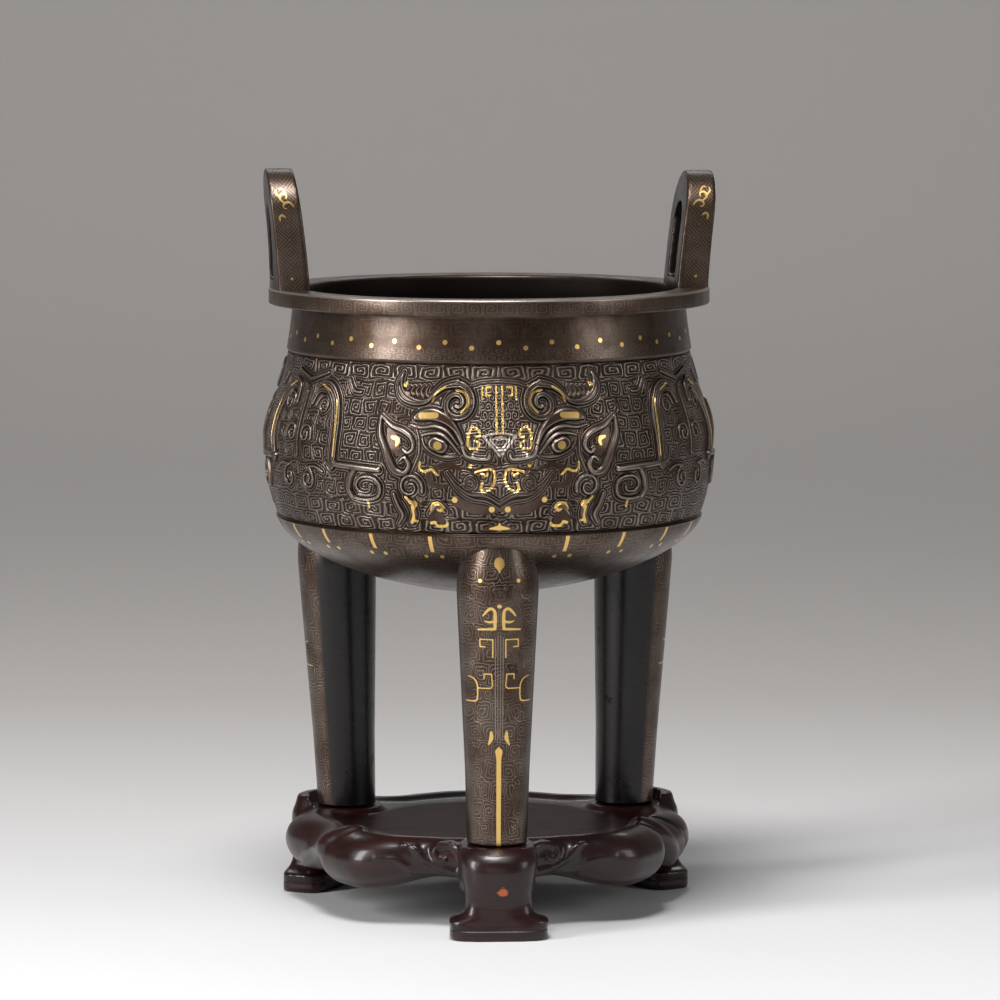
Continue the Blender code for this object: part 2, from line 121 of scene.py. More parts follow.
class Work(Enum):
    """How a line of the mask's drawing is worked in the metal."""

    ROUNDED = "raised and polished"
    FLUTED = "raised, with fine lines along it"
    CUT = "cut in"
    BARE = "left smooth"
    GOLD = "laid in with gold"
    SILVER = "laid in with silver"


@dataclass(frozen=True)
class Stroke:
    """One line of a drawing: points of (across, up, half width) in millimetres."""

    work: Work
    points: tuple[Point, ...]
    height: float = 0.0
    smooth: bool = True
    shoulder: float = 0.62

    def path(self) -> np.ndarray:
        """Returns the line's points, run through by a smooth curve where it is smooth."""
        if not self.smooth or len(self.points) < 3:
            return np.array(self.points, float)
        return smooth_path(self.points, 8)


def smooth_path(points: tuple[Point, ...], pieces: int) -> np.ndarray:
    """Runs a smooth curve through a few points.

    Args:
        points: the points to pass through.
        pieces: steps between two points.

    Returns:
        An array of points along the curve.
    """
    given = np.array(points, float)
    padded = np.vstack([given[:1], given, given[-1:]])
    parts = []
    for index in range(len(given) - 1):
        before, start, end, after = padded[index:index + 4]
        t = np.linspace(0.0, 1.0, pieces, endpoint=False)[:, None]
        parts.append(0.5 * (2.0 * start + (end - before) * t
                            + (2.0 * before - 5.0 * start + 4.0 * end - after) * t ** 2
                            + (3.0 * start - before - 3.0 * end + after) * t ** 3))
    parts.append(given[-1:])
    return np.vstack(parts)


def coil(centre: tuple[float, float], outer: float, inner: float, start: float, turn: float,
         width: float) -> tuple[Point, ...]:
    """Gives the points of a flat spiral.

    Args:
        centre: its middle.
        outer: the radius where it starts.
        inner: the radius where it ends.
        start: the angle where it starts, in degrees.
        turn: how far it winds, in degrees.
        width: its half width where it starts.

    Returns:
        Points of (across, up, half width).
    """
    steps = max(6, int(abs(turn) / 18.0))
    shares = np.linspace(0.0, 1.0, steps + 1)
    radii = outer + (inner - outer) * shares
    angles = np.radians(start + turn * shares)
    return tuple((centre[0] + r * math.cos(a), centre[1] + r * math.sin(a), width * (1.0 - 0.4 * s))
                 for r, a, s in zip(radii, angles, shares))


class Drawing:
    """A flat drawing in millimetres that is worked out on a fine grid."""

    STEP = 0.1
    FAR = 6.0

    def __init__(self, low: tuple[float, float], high: tuple[float, float]) -> None:
        """Lays out the grid between two corners.

        Args:
            low: the lowest place across and up, in millimetres.
            high: the highest one.
        """
        self.low = low
        self.across = np.arange(low[0], high[0] + self.STEP, self.STEP)
        self.up = np.arange(low[1], high[1] + self.STEP, self.STEP)
        shape = (len(self.up), len(self.across))
        self.relief = np.zeros(shape)
        self.echo = np.full(shape, self.FAR)
        self.plain = np.full(shape, self.FAR)
        self.gold = np.full(shape, self.FAR)
        self.silver = np.full(shape, self.FAR)

    def reach(self, stroke: Stroke) -> np.ndarray:
        """Works out how far each place of the grid is from a stroke's edge.

        Args:
            stroke: the stroke to measure from.

        Returns:
            Millimetres from the edge, less than zero inside the stroke.
        """
        found = np.full(self.relief.shape, self.FAR)
        path = stroke.path()
        for start, end in zip(path[:-1], path[1:]):
            margin = self.FAR + max(start[2], end[2])
            cols = np.searchsorted(self.across, [min(start[0], end[0]) - margin,
                                                 max(start[0], end[0]) + margin])
            rows = np.searchsorted(self.up, [min(start[1], end[1]) - margin,
                                             max(start[1], end[1]) + margin])
            if cols[0] == cols[1] or rows[0] == rows[1]:
                continue
            u = self.across[cols[0]:cols[1]][None, :]
            v = self.up[rows[0]:rows[1]][:, None]
            run = end[:2] - start[:2]
            long = max(1e-9, float(run @ run))
            share = np.clip(((u - start[0]) * run[0] + (v - start[1]) * run[1]) / long, 0.0, 1.0)
            gap = np.hypot(u - start[0] - share * run[0], v - start[1] - share * run[1])
            gap -= start[2] + (end[2] - start[2]) * share
            window = found[rows[0]:rows[1], cols[0]:cols[1]]
            np.minimum(window, gap, out=window)
        return found

    def draw(self, stroke: Stroke) -> None:
        """Works one stroke into the drawing.

        Args:
            stroke: the stroke to work in.
        """
        gap = self.reach(stroke)
        if stroke.work is Work.GOLD:
            self.gold = np.minimum(self.gold, gap)
            return
        if stroke.work is Work.SILVER:
            self.silver = np.minimum(self.silver, gap)
            return
        if stroke.work is Work.BARE:
            self.plain = np.minimum(self.plain, gap)
            return
        share = np.clip(-gap / stroke.shoulder, 0.0, 1.0)
        rise = share * (2.0 - share) * stroke.height
        if stroke.work is Work.CUT:
            depth = np.clip((0.3 - gap) / stroke.shoulder, 0.0, 1.0)
            self.relief = self.relief - stroke.height * depth * depth * (3.0 - 2.0 * depth)
            return
        self.relief = np.maximum(self.relief, rise)
        self.echo = np.minimum(self.echo, gap)
        if stroke.work is Work.ROUNDED:
            self.plain = np.minimum(self.plain, gap)

    def edge_shade(self) -> np.ndarray:
        """Returns how far each place stands above its surroundings, which wears it bright.

        Returns:
            A grid of millimetres.
        """
        reach = np.arange(-14, 15)
        weights = np.exp(-(reach / 7.0) ** 2)
        weights /= weights.sum()
        blurred = self.relief.copy()
        for axis in (0, 1):
            padded = np.pad(blurred, [(14, 14) if axis == side else (0, 0) for side in (0, 1)],
                            mode="edge")
            total = np.zeros_like(blurred)
            for index, weight in enumerate(weights):
                window = [slice(None), slice(None)]
                window[axis] = slice(index, index + blurred.shape[axis])
                total += weight * padded[tuple(window)]
            blurred = total
        return self.relief - blurred

    def sample(self, values: np.ndarray, u: np.ndarray, v: np.ndarray) -> np.ndarray:
        """Reads values of the grid at places between its points.

        Args:
            values: one of the grids.
            u: places across, in millimetres.
            v: places up, in millimetres.

        Returns:
            The values there.
        """
        col = np.clip((u - self.low[0]) / self.STEP, 0.0, len(self.across) - 1.001)
        row = np.clip((v - self.low[1]) / self.STEP, 0.0, len(self.up) - 1.001)
        left, lower = col.astype(int), row.astype(int)
        x, y = col - left, row - lower
        return ((values[lower, left] * (1 - x) + values[lower, left + 1] * x) * (1 - y)
                + (values[lower + 1, left] * (1 - x) + values[lower + 1, left + 1] * x) * y)


def set_values(mesh: bpy.types.Mesh, name: str, values: np.ndarray) -> None:
    """Stores one number for each vertex, which the material reads by name.

    Args:
        mesh: the mesh to store them on.
        name: the name they are read by.
        values: one number for each vertex.
    """
    layer = mesh.attributes.new(name, "FLOAT", "POINT")
    layer.data.foreach_set("value", np.ascontiguousarray(values, np.float32))


def places(mesh: bpy.types.Mesh) -> np.ndarray:
    """Returns a mesh's vertex places as an array.

    Args:
        mesh: the mesh to read.

    Returns:
        One row of x, y and z for each vertex, in metres.
    """
    found = np.zeros(len(mesh.vertices) * 3)
    mesh.vertices.foreach_get("co", found)
    return found.reshape(-1, 3)


def finish_piece(shape: bmesh.types.BMesh, name: str, material: bpy.types.Material) -> bpy.types.Object:
    """Turns a bmesh into a piece of the object.

    Args:
        shape: the shape, which is freed.
        name: the piece's name.
        material: its finish.

    Returns:
        The piece, which rides on the model's body.
    """
    mesh = bpy.data.meshes.new(name)
    shape.to_mesh(mesh)
    shape.free()
    mesh.materials.append(material)
    piece = bpy.data.objects.new(name, mesh)
    bpy.context.scene.collection.objects.link(piece)
    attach(piece, "root")
    LOG.info("%s: %d faces", name, len(mesh.polygons))
    return piece


def spun(profile: list[tuple[float, float]], start: float, sweep: float, steps: int,
         loop: bool) -> bmesh.types.BMesh:
    """Spins a section of (radius, height) in millimetres round the upright axis.

    Args:
        profile: the section's points.
        start: the angle where the spin starts, in radians.
        sweep: how far it goes.
        steps: how many steps it takes.
        loop: whether the section is a closed loop, which a part turn closes with end faces.

    Returns:
        The spun shape, with its faces outward.
    """
    shape = bmesh.new()
    turn = Matrix.Rotation(start, 3, "Z")
    verts = [shape.verts.new(turn @ Vector((radius * MM, 0.0, height * MM)))
             for radius, height in profile]
    edges = [shape.edges.new(pair) for pair in zip(verts, verts[1:])]
    if loop:
        edges.append(shape.edges.new((verts[-1], verts[0])))
    full = abs(sweep - FULL_TURN) < 1e-6
    made = bmesh.ops.spin(shape, geom=verts + edges, cent=(0, 0, 0), axis=(0, 0, 1), dvec=(0, 0, 0),
                          angle=sweep, steps=steps, use_merge=full, use_duplicate=False)
    if loop and not full:
        last = [item for item in made["geom_last"] if isinstance(item, bmesh.types.BMEdge)]
        for ring in (edges, last):
            cap = bmesh.ops.contextual_create(shape, geom=ring)["faces"]
            for edge in ring:
                edge.smooth = False
            for face in cap:
                face.smooth = False
    for face in shape.faces:
        face.smooth = len(face.verts) < 5
    bmesh.ops.remove_doubles(shape, verts=shape.verts, dist=1e-7)
    bmesh.ops.recalc_face_normals(shape, faces=shape.faces)
    return shape


def grown(shape: bmesh.types.BMesh, voxel: float, rounds: int) -> bmesh.types.BMesh:
    """Grows closed parts into one skin and eases its edges, as casting and rubbing do.

    Args:
        shape: the parts, which are freed.
        voxel: the skin's fineness in millimetres.
        rounds: how often it is eased.

    Returns:
        The skin.
    """
    mesh = bpy.data.meshes.new("parts")
    shape.to_mesh(mesh)
    shape.free()
    item = bpy.data.objects.new("parts", mesh)
    bpy.context.scene.collection.objects.link(item)
    remesh = item.modifiers.new("grown", "REMESH")
    remesh.mode = "VOXEL"
    remesh.voxel_size = voxel * MM
    ease = item.modifiers.new("eased", "SMOOTH")
    ease.factor = 0.5
    ease.iterations = rounds
    made = bpy.data.meshes.new_from_object(
        item.evaluated_get(bpy.context.evaluated_depsgraph_get()))
    bpy.data.objects.remove(item)
    bpy.data.meshes.remove(mesh)
    skin = bmesh.new()
    skin.from_mesh(made)
    bpy.data.meshes.remove(made)
    for face in skin.faces:
        face.smooth = True
    return skin


@dataclass
class BowlSizes:
    """Heights and radii of the bowl in millimetres, as the frame has them."""

    base: float = 101.5
    band_foot: float = 127.5
    band_top: float = 179.5
    rim_base: float = 194.7
    rim_top: float = 199.9
    rim: float = 70.6
    mouth: float = 59.4
    neck: float = 63.0
    shoulder: float = 65.0
    belly: float = 72.0
    foot: float = 68.5
    wall: float = 3.7
    floor: float = 104.9
    curve: float = 1.72

    def side(self, height: float) -> float:
        """Gives the radius of the smooth outer side at a height.

        Args:
            height: millimetres above the ground.

        Returns:
            The radius in millimetres.
        """
        if height >= self.band_top:
            share = min(1.0, (self.rim_base - height) / (self.rim_base - self.band_top))
            return self.neck + (self.shoulder - self.neck) * max(0.0, share) ** 1.3
        if height >= self.band_foot:
            share = (height - self.band_foot) / (self.band_top - self.band_foot)
            if share > 0.5:
                fall = (1.0 - share) / 0.5
                swell = 0.35 * fall + 0.65 * fall * fall * (3.0 - 2.0 * fall)
                return self.shoulder + (self.belly - self.shoulder) * swell
            drop = (0.5 - share) / 0.5
            return self.belly - (self.belly - self.foot) * drop ** 3
        share = min(1.0, (self.band_foot - height) / (self.band_foot - self.base))
        return self.foot * (1.0 - share ** self.curve) ** (1.0 / self.curve)

    def fold(self, where: np.ndarray) -> np.ndarray:
        """Gives the arc from the nearest mask's axis, on the 75.4 mm half panel.

        Args:
            where: vertex places in metres.

        Returns:
            Millimetres across, from 0 to 75.4.
        """
        angle = np.degrees(np.arctan2(where[:, 0], -where[:, 1]))
        return HALF_PANEL / 60.0 * np.abs((angle + 60.0) % 120.0 - 60.0)


@dataclass
class MaskPanel:
    """The band's relief in millimetres: one mask with its hooks, drawn as a mirrored half."""

    sizes: BowlSizes
    material: bpy.types.Material
    half: float = HALF_PANEL
    tall: float = 51.5
    ground: float = -0.5
    border_sink: float = 0.35
    depth: float = 0.78
    thickness: float = 2.4
    columns: int = 444
    rows: int = 158

    def __post_init__(self) -> None:
        """Draws the half panel."""
        self.drawing = Drawing((0.0, 0.0), (self.half, self.tall))
        for stroke in (*self.forms(), *self.cuts(), *self.gold(), *self.silver()):
            self.drawing.draw(stroke)
        self.shade = self.drawing.edge_shade()
        self.blank = spun(self.profile(), -math.pi / 3.0, THIRD_TURN, self.columns, True)

    def forms(self) -> list[Stroke]:
        """Returns the raised lines of the mask and of the hooks beside it."""
        rounded, fluted = Work.ROUNDED, Work.FLUTED
        feathers = [Stroke(rounded, ((23.6 + 1.75 * i, 41.4 + 0.25 * i, 0.5),
                                     (24.6 + 1.75 * i, 43.2, 0.5),
                                     (23.9 + 1.7 * i, 45.0 - 0.1 * i, 0.32)), 0.62)
                    for i in range(5)]
        return feathers + [
            Stroke(fluted, ((33.2, 49.0, 0.4), (34.4, 45.4, 1.2), (32.6, 42.0, 1.5),
                            (28.2, 40.2, 1.2), (24.4, 40.4, 0.9), (22.2, 42.2, 0.8),
                            (18.6, 45.0, 1.2), (14.0, 46.0, 1.5)), 1.1),
            Stroke(fluted, coil((14.0, 40.0), 5.9, 0.8, 88.0, 560.0, 1.25), 1.15),
            Stroke(rounded, ((27.4, 35.6, 0.9), (25.2, 36.3, 1.8), (21.4, 36.6, 2.0),
                             (17.4, 35.2, 1.6), (14.0, 32.4, 1.1), (11.8, 28.0, 0.6)), 1.35),
            Stroke(rounded, ((29.0, 33.4, 0.3), (25.2, 32.6, 0.5), (20.6, 33.0, 0.6),
                             (16.4, 31.4, 0.6), (13.0, 27.6, 0.4)), 0.9),
            Stroke(rounded, ((24.9, 30.2, 0.3), (22.0, 30.9, 0.5), (18.4, 30.6, 0.6),
                             (15.2, 28.2, 0.55), (12.4, 24.8, 0.35)), 1.0),
            Stroke(rounded, ((24.6, 29.8, 0.3), (23.4, 26.8, 0.45), (20.0, 24.6, 0.5),
                             (16.2, 23.8, 0.5), (12.8, 24.2, 0.3)), 0.8),
            Stroke(rounded, ((20.6, 27.9, 2.1), (18.4, 27.0, 2.2)), 1.25),
            Stroke(rounded, ((12.4, 30.0, 0.4), (11.6, 26.4, 0.5), (9.4, 23.9, 0.5),
                             (4.2, 23.3, 0.5), (3.2, 25.0, 0.4)), 0.8),
            Stroke(rounded, ((39.4, 35.8, 0.3), (38.8, 30.4, 0.9), (36.8, 26.2, 1.0),
                             (35.4, 22.4, 1.3), (33.4, 19.2, 1.25), (30.4, 18.6, 1.0),
                             (28.8, 21.0, 0.8), (30.2, 23.4, 0.6), (32.0, 22.2, 0.4)), 1.4),
            Stroke(rounded, ((39.0, 35.4, 0.3), (35.2, 32.8, 0.7), (31.2, 31.4, 0.9),
                             (28.2, 29.4, 0.8), (27.4, 26.6, 0.7), (29.2, 24.8, 0.6),
                             (31.0, 26.0, 0.35)), 1.2),
            Stroke(rounded, ((27.4, 33.2, 0.3), (25.8, 30.0, 0.35), (25.4, 25.2, 0.4),
                             (27.2, 20.6, 0.4), (29.2, 16.8, 0.35)), 0.8),
            Stroke(fluted, ((58.0, 19.8, 1.9), (57.0, 27.0, 2.0), (57.4, 33.6, 2.1),
                            (59.8, 39.6, 2.2), (64.4, 43.2, 2.1), (69.2, 42.2, 1.6),
                            (70.6, 38.0, 0.8)), 1.25),
            Stroke(fluted, coil((64.8, 37.6), 3.4, 0.7, 0.0, 480.0, 0.5), 0.8),
            Stroke(rounded, ((60.4, 20.6, 0.6), (56.0, 20.0, 1.0), (48.0, 19.6, 1.1),
                             (39.4, 19.2, 1.0)), 1.45),
            Stroke(rounded, ((48.2, 19.0, 1.0), (50.0, 16.2, 1.1), (50.6, 12.8, 1.05),
                             (49.2, 10.4, 0.9)), 1.35),
            Stroke(fluted, ((49.2, 10.2, 0.7), (44.5, 9.6, 0.7), (39.9, 10.8, 0.7),
                            (38.9, 14.2, 0.7), (41.4, 16.6, 0.65), (45.6, 16.6, 0.6),
                            (47.6, 14.4, 0.55), (46.4, 12.2, 0.5), (43.2, 12.2, 0.45),
                            (42.4, 13.8, 0.4)), 1.0),
            Stroke(fluted, coil((28.6, 14.3), 4.2, 0.7, -160.0, -520.0, 0.7), 1.0),
            Stroke(rounded, ((16.6, 18.8, 0.3), (13.8, 15.4, 0.35), (9.4, 12.4, 0.4),
                             (4.4, 11.8, 0.4), (0.0, 9.4, 0.35)), 0.75),
            Stroke(rounded, ((15.4, 17.0, 0.3), (12.6, 13.4, 0.35), (8.6, 11.0, 0.4),
                             (4.0, 10.2, 0.4), (0.0, 7.8, 0.3)), 0.7),
            Stroke(rounded, coil((9.4, 16.0), 2.4, 0.5, 330.0, -460.0, 0.34), 0.7),
            Stroke(rounded, ((14.6, 46.9, 0.3), (9.6, 45.2, 0.35), (6.0, 46.0, 0.35),
                             (0.0, 46.4, 0.35)), 0.7),
            Stroke(rounded, ((30.4, 11.2, 0.5), (28.4, 9.4, 1.0), (27.4, 6.0, 1.0),
                             (28.4, 3.2, 0.9)), 0.9),
            Stroke(rounded, ((34.2, 12.0, 0.5), (33.0, 8.6, 0.7), (31.6, 5.4, 0.6),
                             (33.4, 2.6, 0.4)), 0.8),
            Stroke(rounded, ((22.6, 6.0, 0.5), (20.0, 8.4, 0.9), (17.6, 6.8, 0.6)), 0.8),
            Stroke(fluted, coil((71.2, 28.4), 3.4, 0.7, 200.0, -480.0, 0.6), 0.8),
            Stroke(fluted, coil((69.8, 14.6), 3.6, 0.7, 90.0, 500.0, 0.6), 0.8),
            Stroke(fluted, ((62.0, 17.2, 0.4), (65.6, 18.6, 0.6), (69.8, 18.2, 0.6)), 0.8),
            Stroke(fluted, ((75.4, 22.0, 1.0), (75.4, 41.0, 1.0)), 1.0),
            Stroke(fluted, ((75.4, 45.0, 0.8), (71.0, 46.2, 0.7), (66.0, 47.6, 0.6)), 0.8),
            Stroke(fluted, ((55.0, 46.0, 0.5), (52.4, 42.8, 0.6), (49.0, 42.4, 0.5)), 0.75),
        ]

    def cuts(self) -> list[Stroke]:
        """Returns the lines that are cut in, the jaw and the mouth, and the smooth places there."""
        bare = Work.BARE
        return [
            Stroke(bare, ((0.0, 8.0, 0.6), (3.6, 7.4, 1.2), (8.6, 8.0, 1.6), (13.6, 10.2, 1.5))),
            Stroke(bare, ((0.0, 2.2, 1.2), (5.0, 1.2, 0.5))),
            Stroke(bare, ((18.6, 3.6, 0.9), (20.4, 6.6, 1.6), (22.0, 3.4, 1.2))),
            Stroke(bare, ((17.4, 14.6, 0.6), (21.4, 15.6, 0.9), (22.0, 19.0, 0.9),
                          (16.6, 21.4, 0.9), (12.4, 20.2, 0.6))),
            Stroke(bare, ((36.2, 31.6, 0.7), (34.4, 28.6, 1.9), (33.2, 25.6, 1.3),
                          (32.0, 24.4, 0.8))),
            Stroke(Work.CUT, ((24.8, 1.0, 0.28), (25.0, 6.0, 0.3), (23.4, 9.8, 0.32),
                              (20.4, 11.2, 0.32), (17.0, 9.6, 0.32), (14.9, 6.0, 0.32),
                              (11.8, 4.0, 0.32), (7.6, 3.2, 0.32), (3.4, 4.0, 0.3),
                              (0.0, 6.6, 0.3)), 0.55),
            Stroke(Work.CUT, ((33.9, 14.0, 0.2), (31.6, 8.4, 0.3), (30.4, 5.4, 0.3),
                              (31.6, 1.4, 0.25)), 0.45),
        ]

    def gold(self) -> list[Stroke]:
        """Returns the gold inlay."""
        gold = Work.GOLD
        return [
            Stroke(gold, ((25.3, 36.2, 0.85), (20.5, 36.4, 0.85)), smooth=False),
            Stroke(gold, ((19.5, 27.4, 1.15), (19.3, 27.3, 1.15)), smooth=False),
            Stroke(gold, ((34.8, 29.4, 0.35), (32.8, 28.7, 0.7), (33.2, 27.0, 0.3))),
            Stroke(gold, ((8.7, 33.2, 0.28), (9.9, 30.5, 0.3), (9.8, 26.9, 0.28), (7.2, 26.6, 0.28),
                          (6.4, 28.2, 0.26), (8.0, 28.9, 0.24))),
            Stroke(gold, ((8.5, 33.2, 0.28), (6.4, 31.7, 0.28), (6.5, 30.1, 0.26),
                          (7.8, 30.3, 0.24))),
            Stroke(gold, ((1.0, 31.0, 0.26), (1.0, 45.0, 0.26)), smooth=False),
            Stroke(gold, ((2.6, 44.8, 0.22), (4.4, 44.8, 0.22), (4.4, 42.4, 0.22),
                          (3.2, 42.4, 0.22)), smooth=False),
            Stroke(gold, ((5.6, 44.9, 0.22), (5.7, 41.2, 0.22)), smooth=False),
            Stroke(gold, ((7.6, 19.3, 0.28), (4.2, 20.2, 0.32), (2.2, 19.8, 0.32),
                          (1.5, 17.5, 0.32),
                          (2.5, 14.6, 0.34), (5.0, 13.2, 0.36), (5.9, 14.2, 0.36),
                          (5.4, 16.0, 0.34))),
            Stroke(gold, ((5.6, 18.8, 0.3), (4.4, 18.2, 0.36), (3.9, 18.9, 0.26))),
            Stroke(gold, ((25.2, 22.0, 0.24), (25.3, 20.0, 0.3), (23.8, 19.2, 0.32),
                          (21.5, 19.9, 0.32), (20.3, 18.8, 0.3), (19.4, 18.2, 0.22))),
            Stroke(gold, ((9.2, 21.2, 0.5), (9.25, 21.2, 0.5)), smooth=False),
            Stroke(gold, ((14.2, 10.6, 0.8), (14.25, 10.6, 0.8)), smooth=False),
            Stroke(gold, ((2.5, 7.7, 0.85), (2.55, 7.7, 0.85)), smooth=False),
            Stroke(gold, ((22.0, 7.5, 0.32), (21.2, 9.2, 0.38), (19.2, 9.3, 0.42),
                          (18.0, 8.3, 0.42),
                          (18.8, 7.2, 0.4), (19.8, 7.5, 0.3))),
            Stroke(gold, ((22.2, 3.2, 0.4), (20.8, 3.4, 0.38), (20.2, 2.3, 0.36), (17.4, 2.4, 0.38),
                          (16.8, 3.2, 0.34))),
            Stroke(gold, ((30.0, 11.0, 0.4), (29.0, 9.8, 0.5), (27.0, 9.2, 0.55),
                          (28.0, 7.4, 0.6), (27.9, 5.0, 0.5), (28.6, 3.4, 0.55))),
            Stroke(gold, ((27.9, 4.0, 0.4), (26.8, 3.6, 0.3)), smooth=False),
            Stroke(gold, ((3.2, 1.6, 0.15), (0.0, 1.9, 0.75)), smooth=False),
            Stroke(gold, ((0.0, 1.9, 0.75), (0.0, 3.2, 0.15)), smooth=False),
            Stroke(gold, ((22.3, 40.4, 0.24), (21.0, 43.0, 0.26), (18.0, 45.0, 0.26))),
            Stroke(gold, ((14.5, 44.0, 0.26), (11.2, 43.0, 0.3), (10.3, 40.0, 0.3),
                          (12.5, 37.2, 0.26))),
            Stroke(gold, ((32.0, 45.6, 0.45), (32.6, 45.2, 0.5)), smooth=False),
            Stroke(gold, ((58.2, 40.0, 0.22), (56.8, 34.0, 0.28), (56.2, 28.0, 0.28),
                          (56.6, 22.5, 0.24))),
            Stroke(gold, ((67.0, 44.0, 0.22), (62.5, 42.2, 0.26)), smooth=False),
            Stroke(gold, ((43.8, 9.0, 0.36), (43.6, 7.3, 0.3)), smooth=False),
        ]

    def silver(self) -> list[Stroke]:
        """Returns the silver inlay."""
        silver = Work.SILVER
        return [
            Stroke(silver, ((5.2, 30.2, 0.3), (0.0, 24.2, 0.28)), smooth=False),
            Stroke(silver, ((5.2, 30.2, 0.3), (2.6, 30.9, 0.28), (0.0, 31.1, 0.28))),
            Stroke(silver, ((3.1, 29.2, 0.22), (0.0, 25.7, 0.22)), smooth=False),
            Stroke(silver, ((3.1, 29.2, 0.22), (0.0, 29.6, 0.22)), smooth=False),
            Stroke(silver, ((11.5, 27.0, 0.24), (11.0, 24.6, 0.26), (9.0, 23.6, 0.26),
                            (4.0, 23.2, 0.26), (3.2, 24.5, 0.24))),
            Stroke(silver, ((8.5, 23.6, 0.22), (8.3, 25.2, 0.22), (6.8, 25.6, 0.22))),
        ]

    def profile(self) -> list[tuple[float, float]]:
        """Returns the band's section, from its top down the outside and back up inside.

        Returns:
            Points of (radius, height) in millimetres.
        """
        sizes = self.sizes
        span = sizes.band_top - sizes.band_foot
        heights = [sizes.band_top - span * index / self.rows for index in range(self.rows + 1)]
        outside = [(sizes.side(height), height) for height in heights]
        inside = [(sizes.side(height) - self.thickness,
                   height) for height in reversed(heights[::26])]
        return outside + inside

    def build(self, angle: float, label: str) -> bpy.types.Object:
        """Builds one panel of the band.

        Args:
            angle: where the mask's axis is, in radians from +X.
            label: which mask it is.

        Returns:
            The panel.
        """
        shape = self.blank.copy()
        bmesh.ops.rotate(shape, verts=shape.verts, matrix=Matrix.Rotation(angle, 3, "Z"))
        piece = finish_piece(shape, f"mask_panel_{label}", self.material)
        mesh = piece.data
        where = places(mesh)
        radius = np.hypot(where[:, 0], where[:, 1])
        height = where[:, 2] / MM
        u = self.sizes.fold(where)
        span = self.sizes.band_top - self.sizes.band_foot
        v = (height - self.sizes.band_foot) * self.tall / span
        smooth = np.array([self.sizes.side(float(value)) for value in height]) * MM
        outer = radius > smooth - 1.0 * MM
        rise = self.drawing.sample(self.drawing.relief, u, v)
        edge = np.clip(np.minimum(v, self.tall - v) / 0.5, 0.0, 1.0)
        level = self.ground - self.border_sink * (1.0 - edge) + rise * self.depth * edge
        lift = np.where(outer, level * MM, 0.0)
        where[:, :2] *= ((radius + lift) / radius)[:, None]
        mesh.vertices.foreach_set("co", where.ravel())
        mesh.update()
        set_values(mesh, "across", u)
        set_values(mesh, "up", v)
        for name in ("echo", "plain", "gold", "silver"):
            set_values(mesh, name, self.drawing.sample(getattr(self.drawing, name), u, v))
        set_values(mesh, "shade", self.drawing.sample(self.shade, u, v) - 0.4 * (1.0 - edge))
        return piece


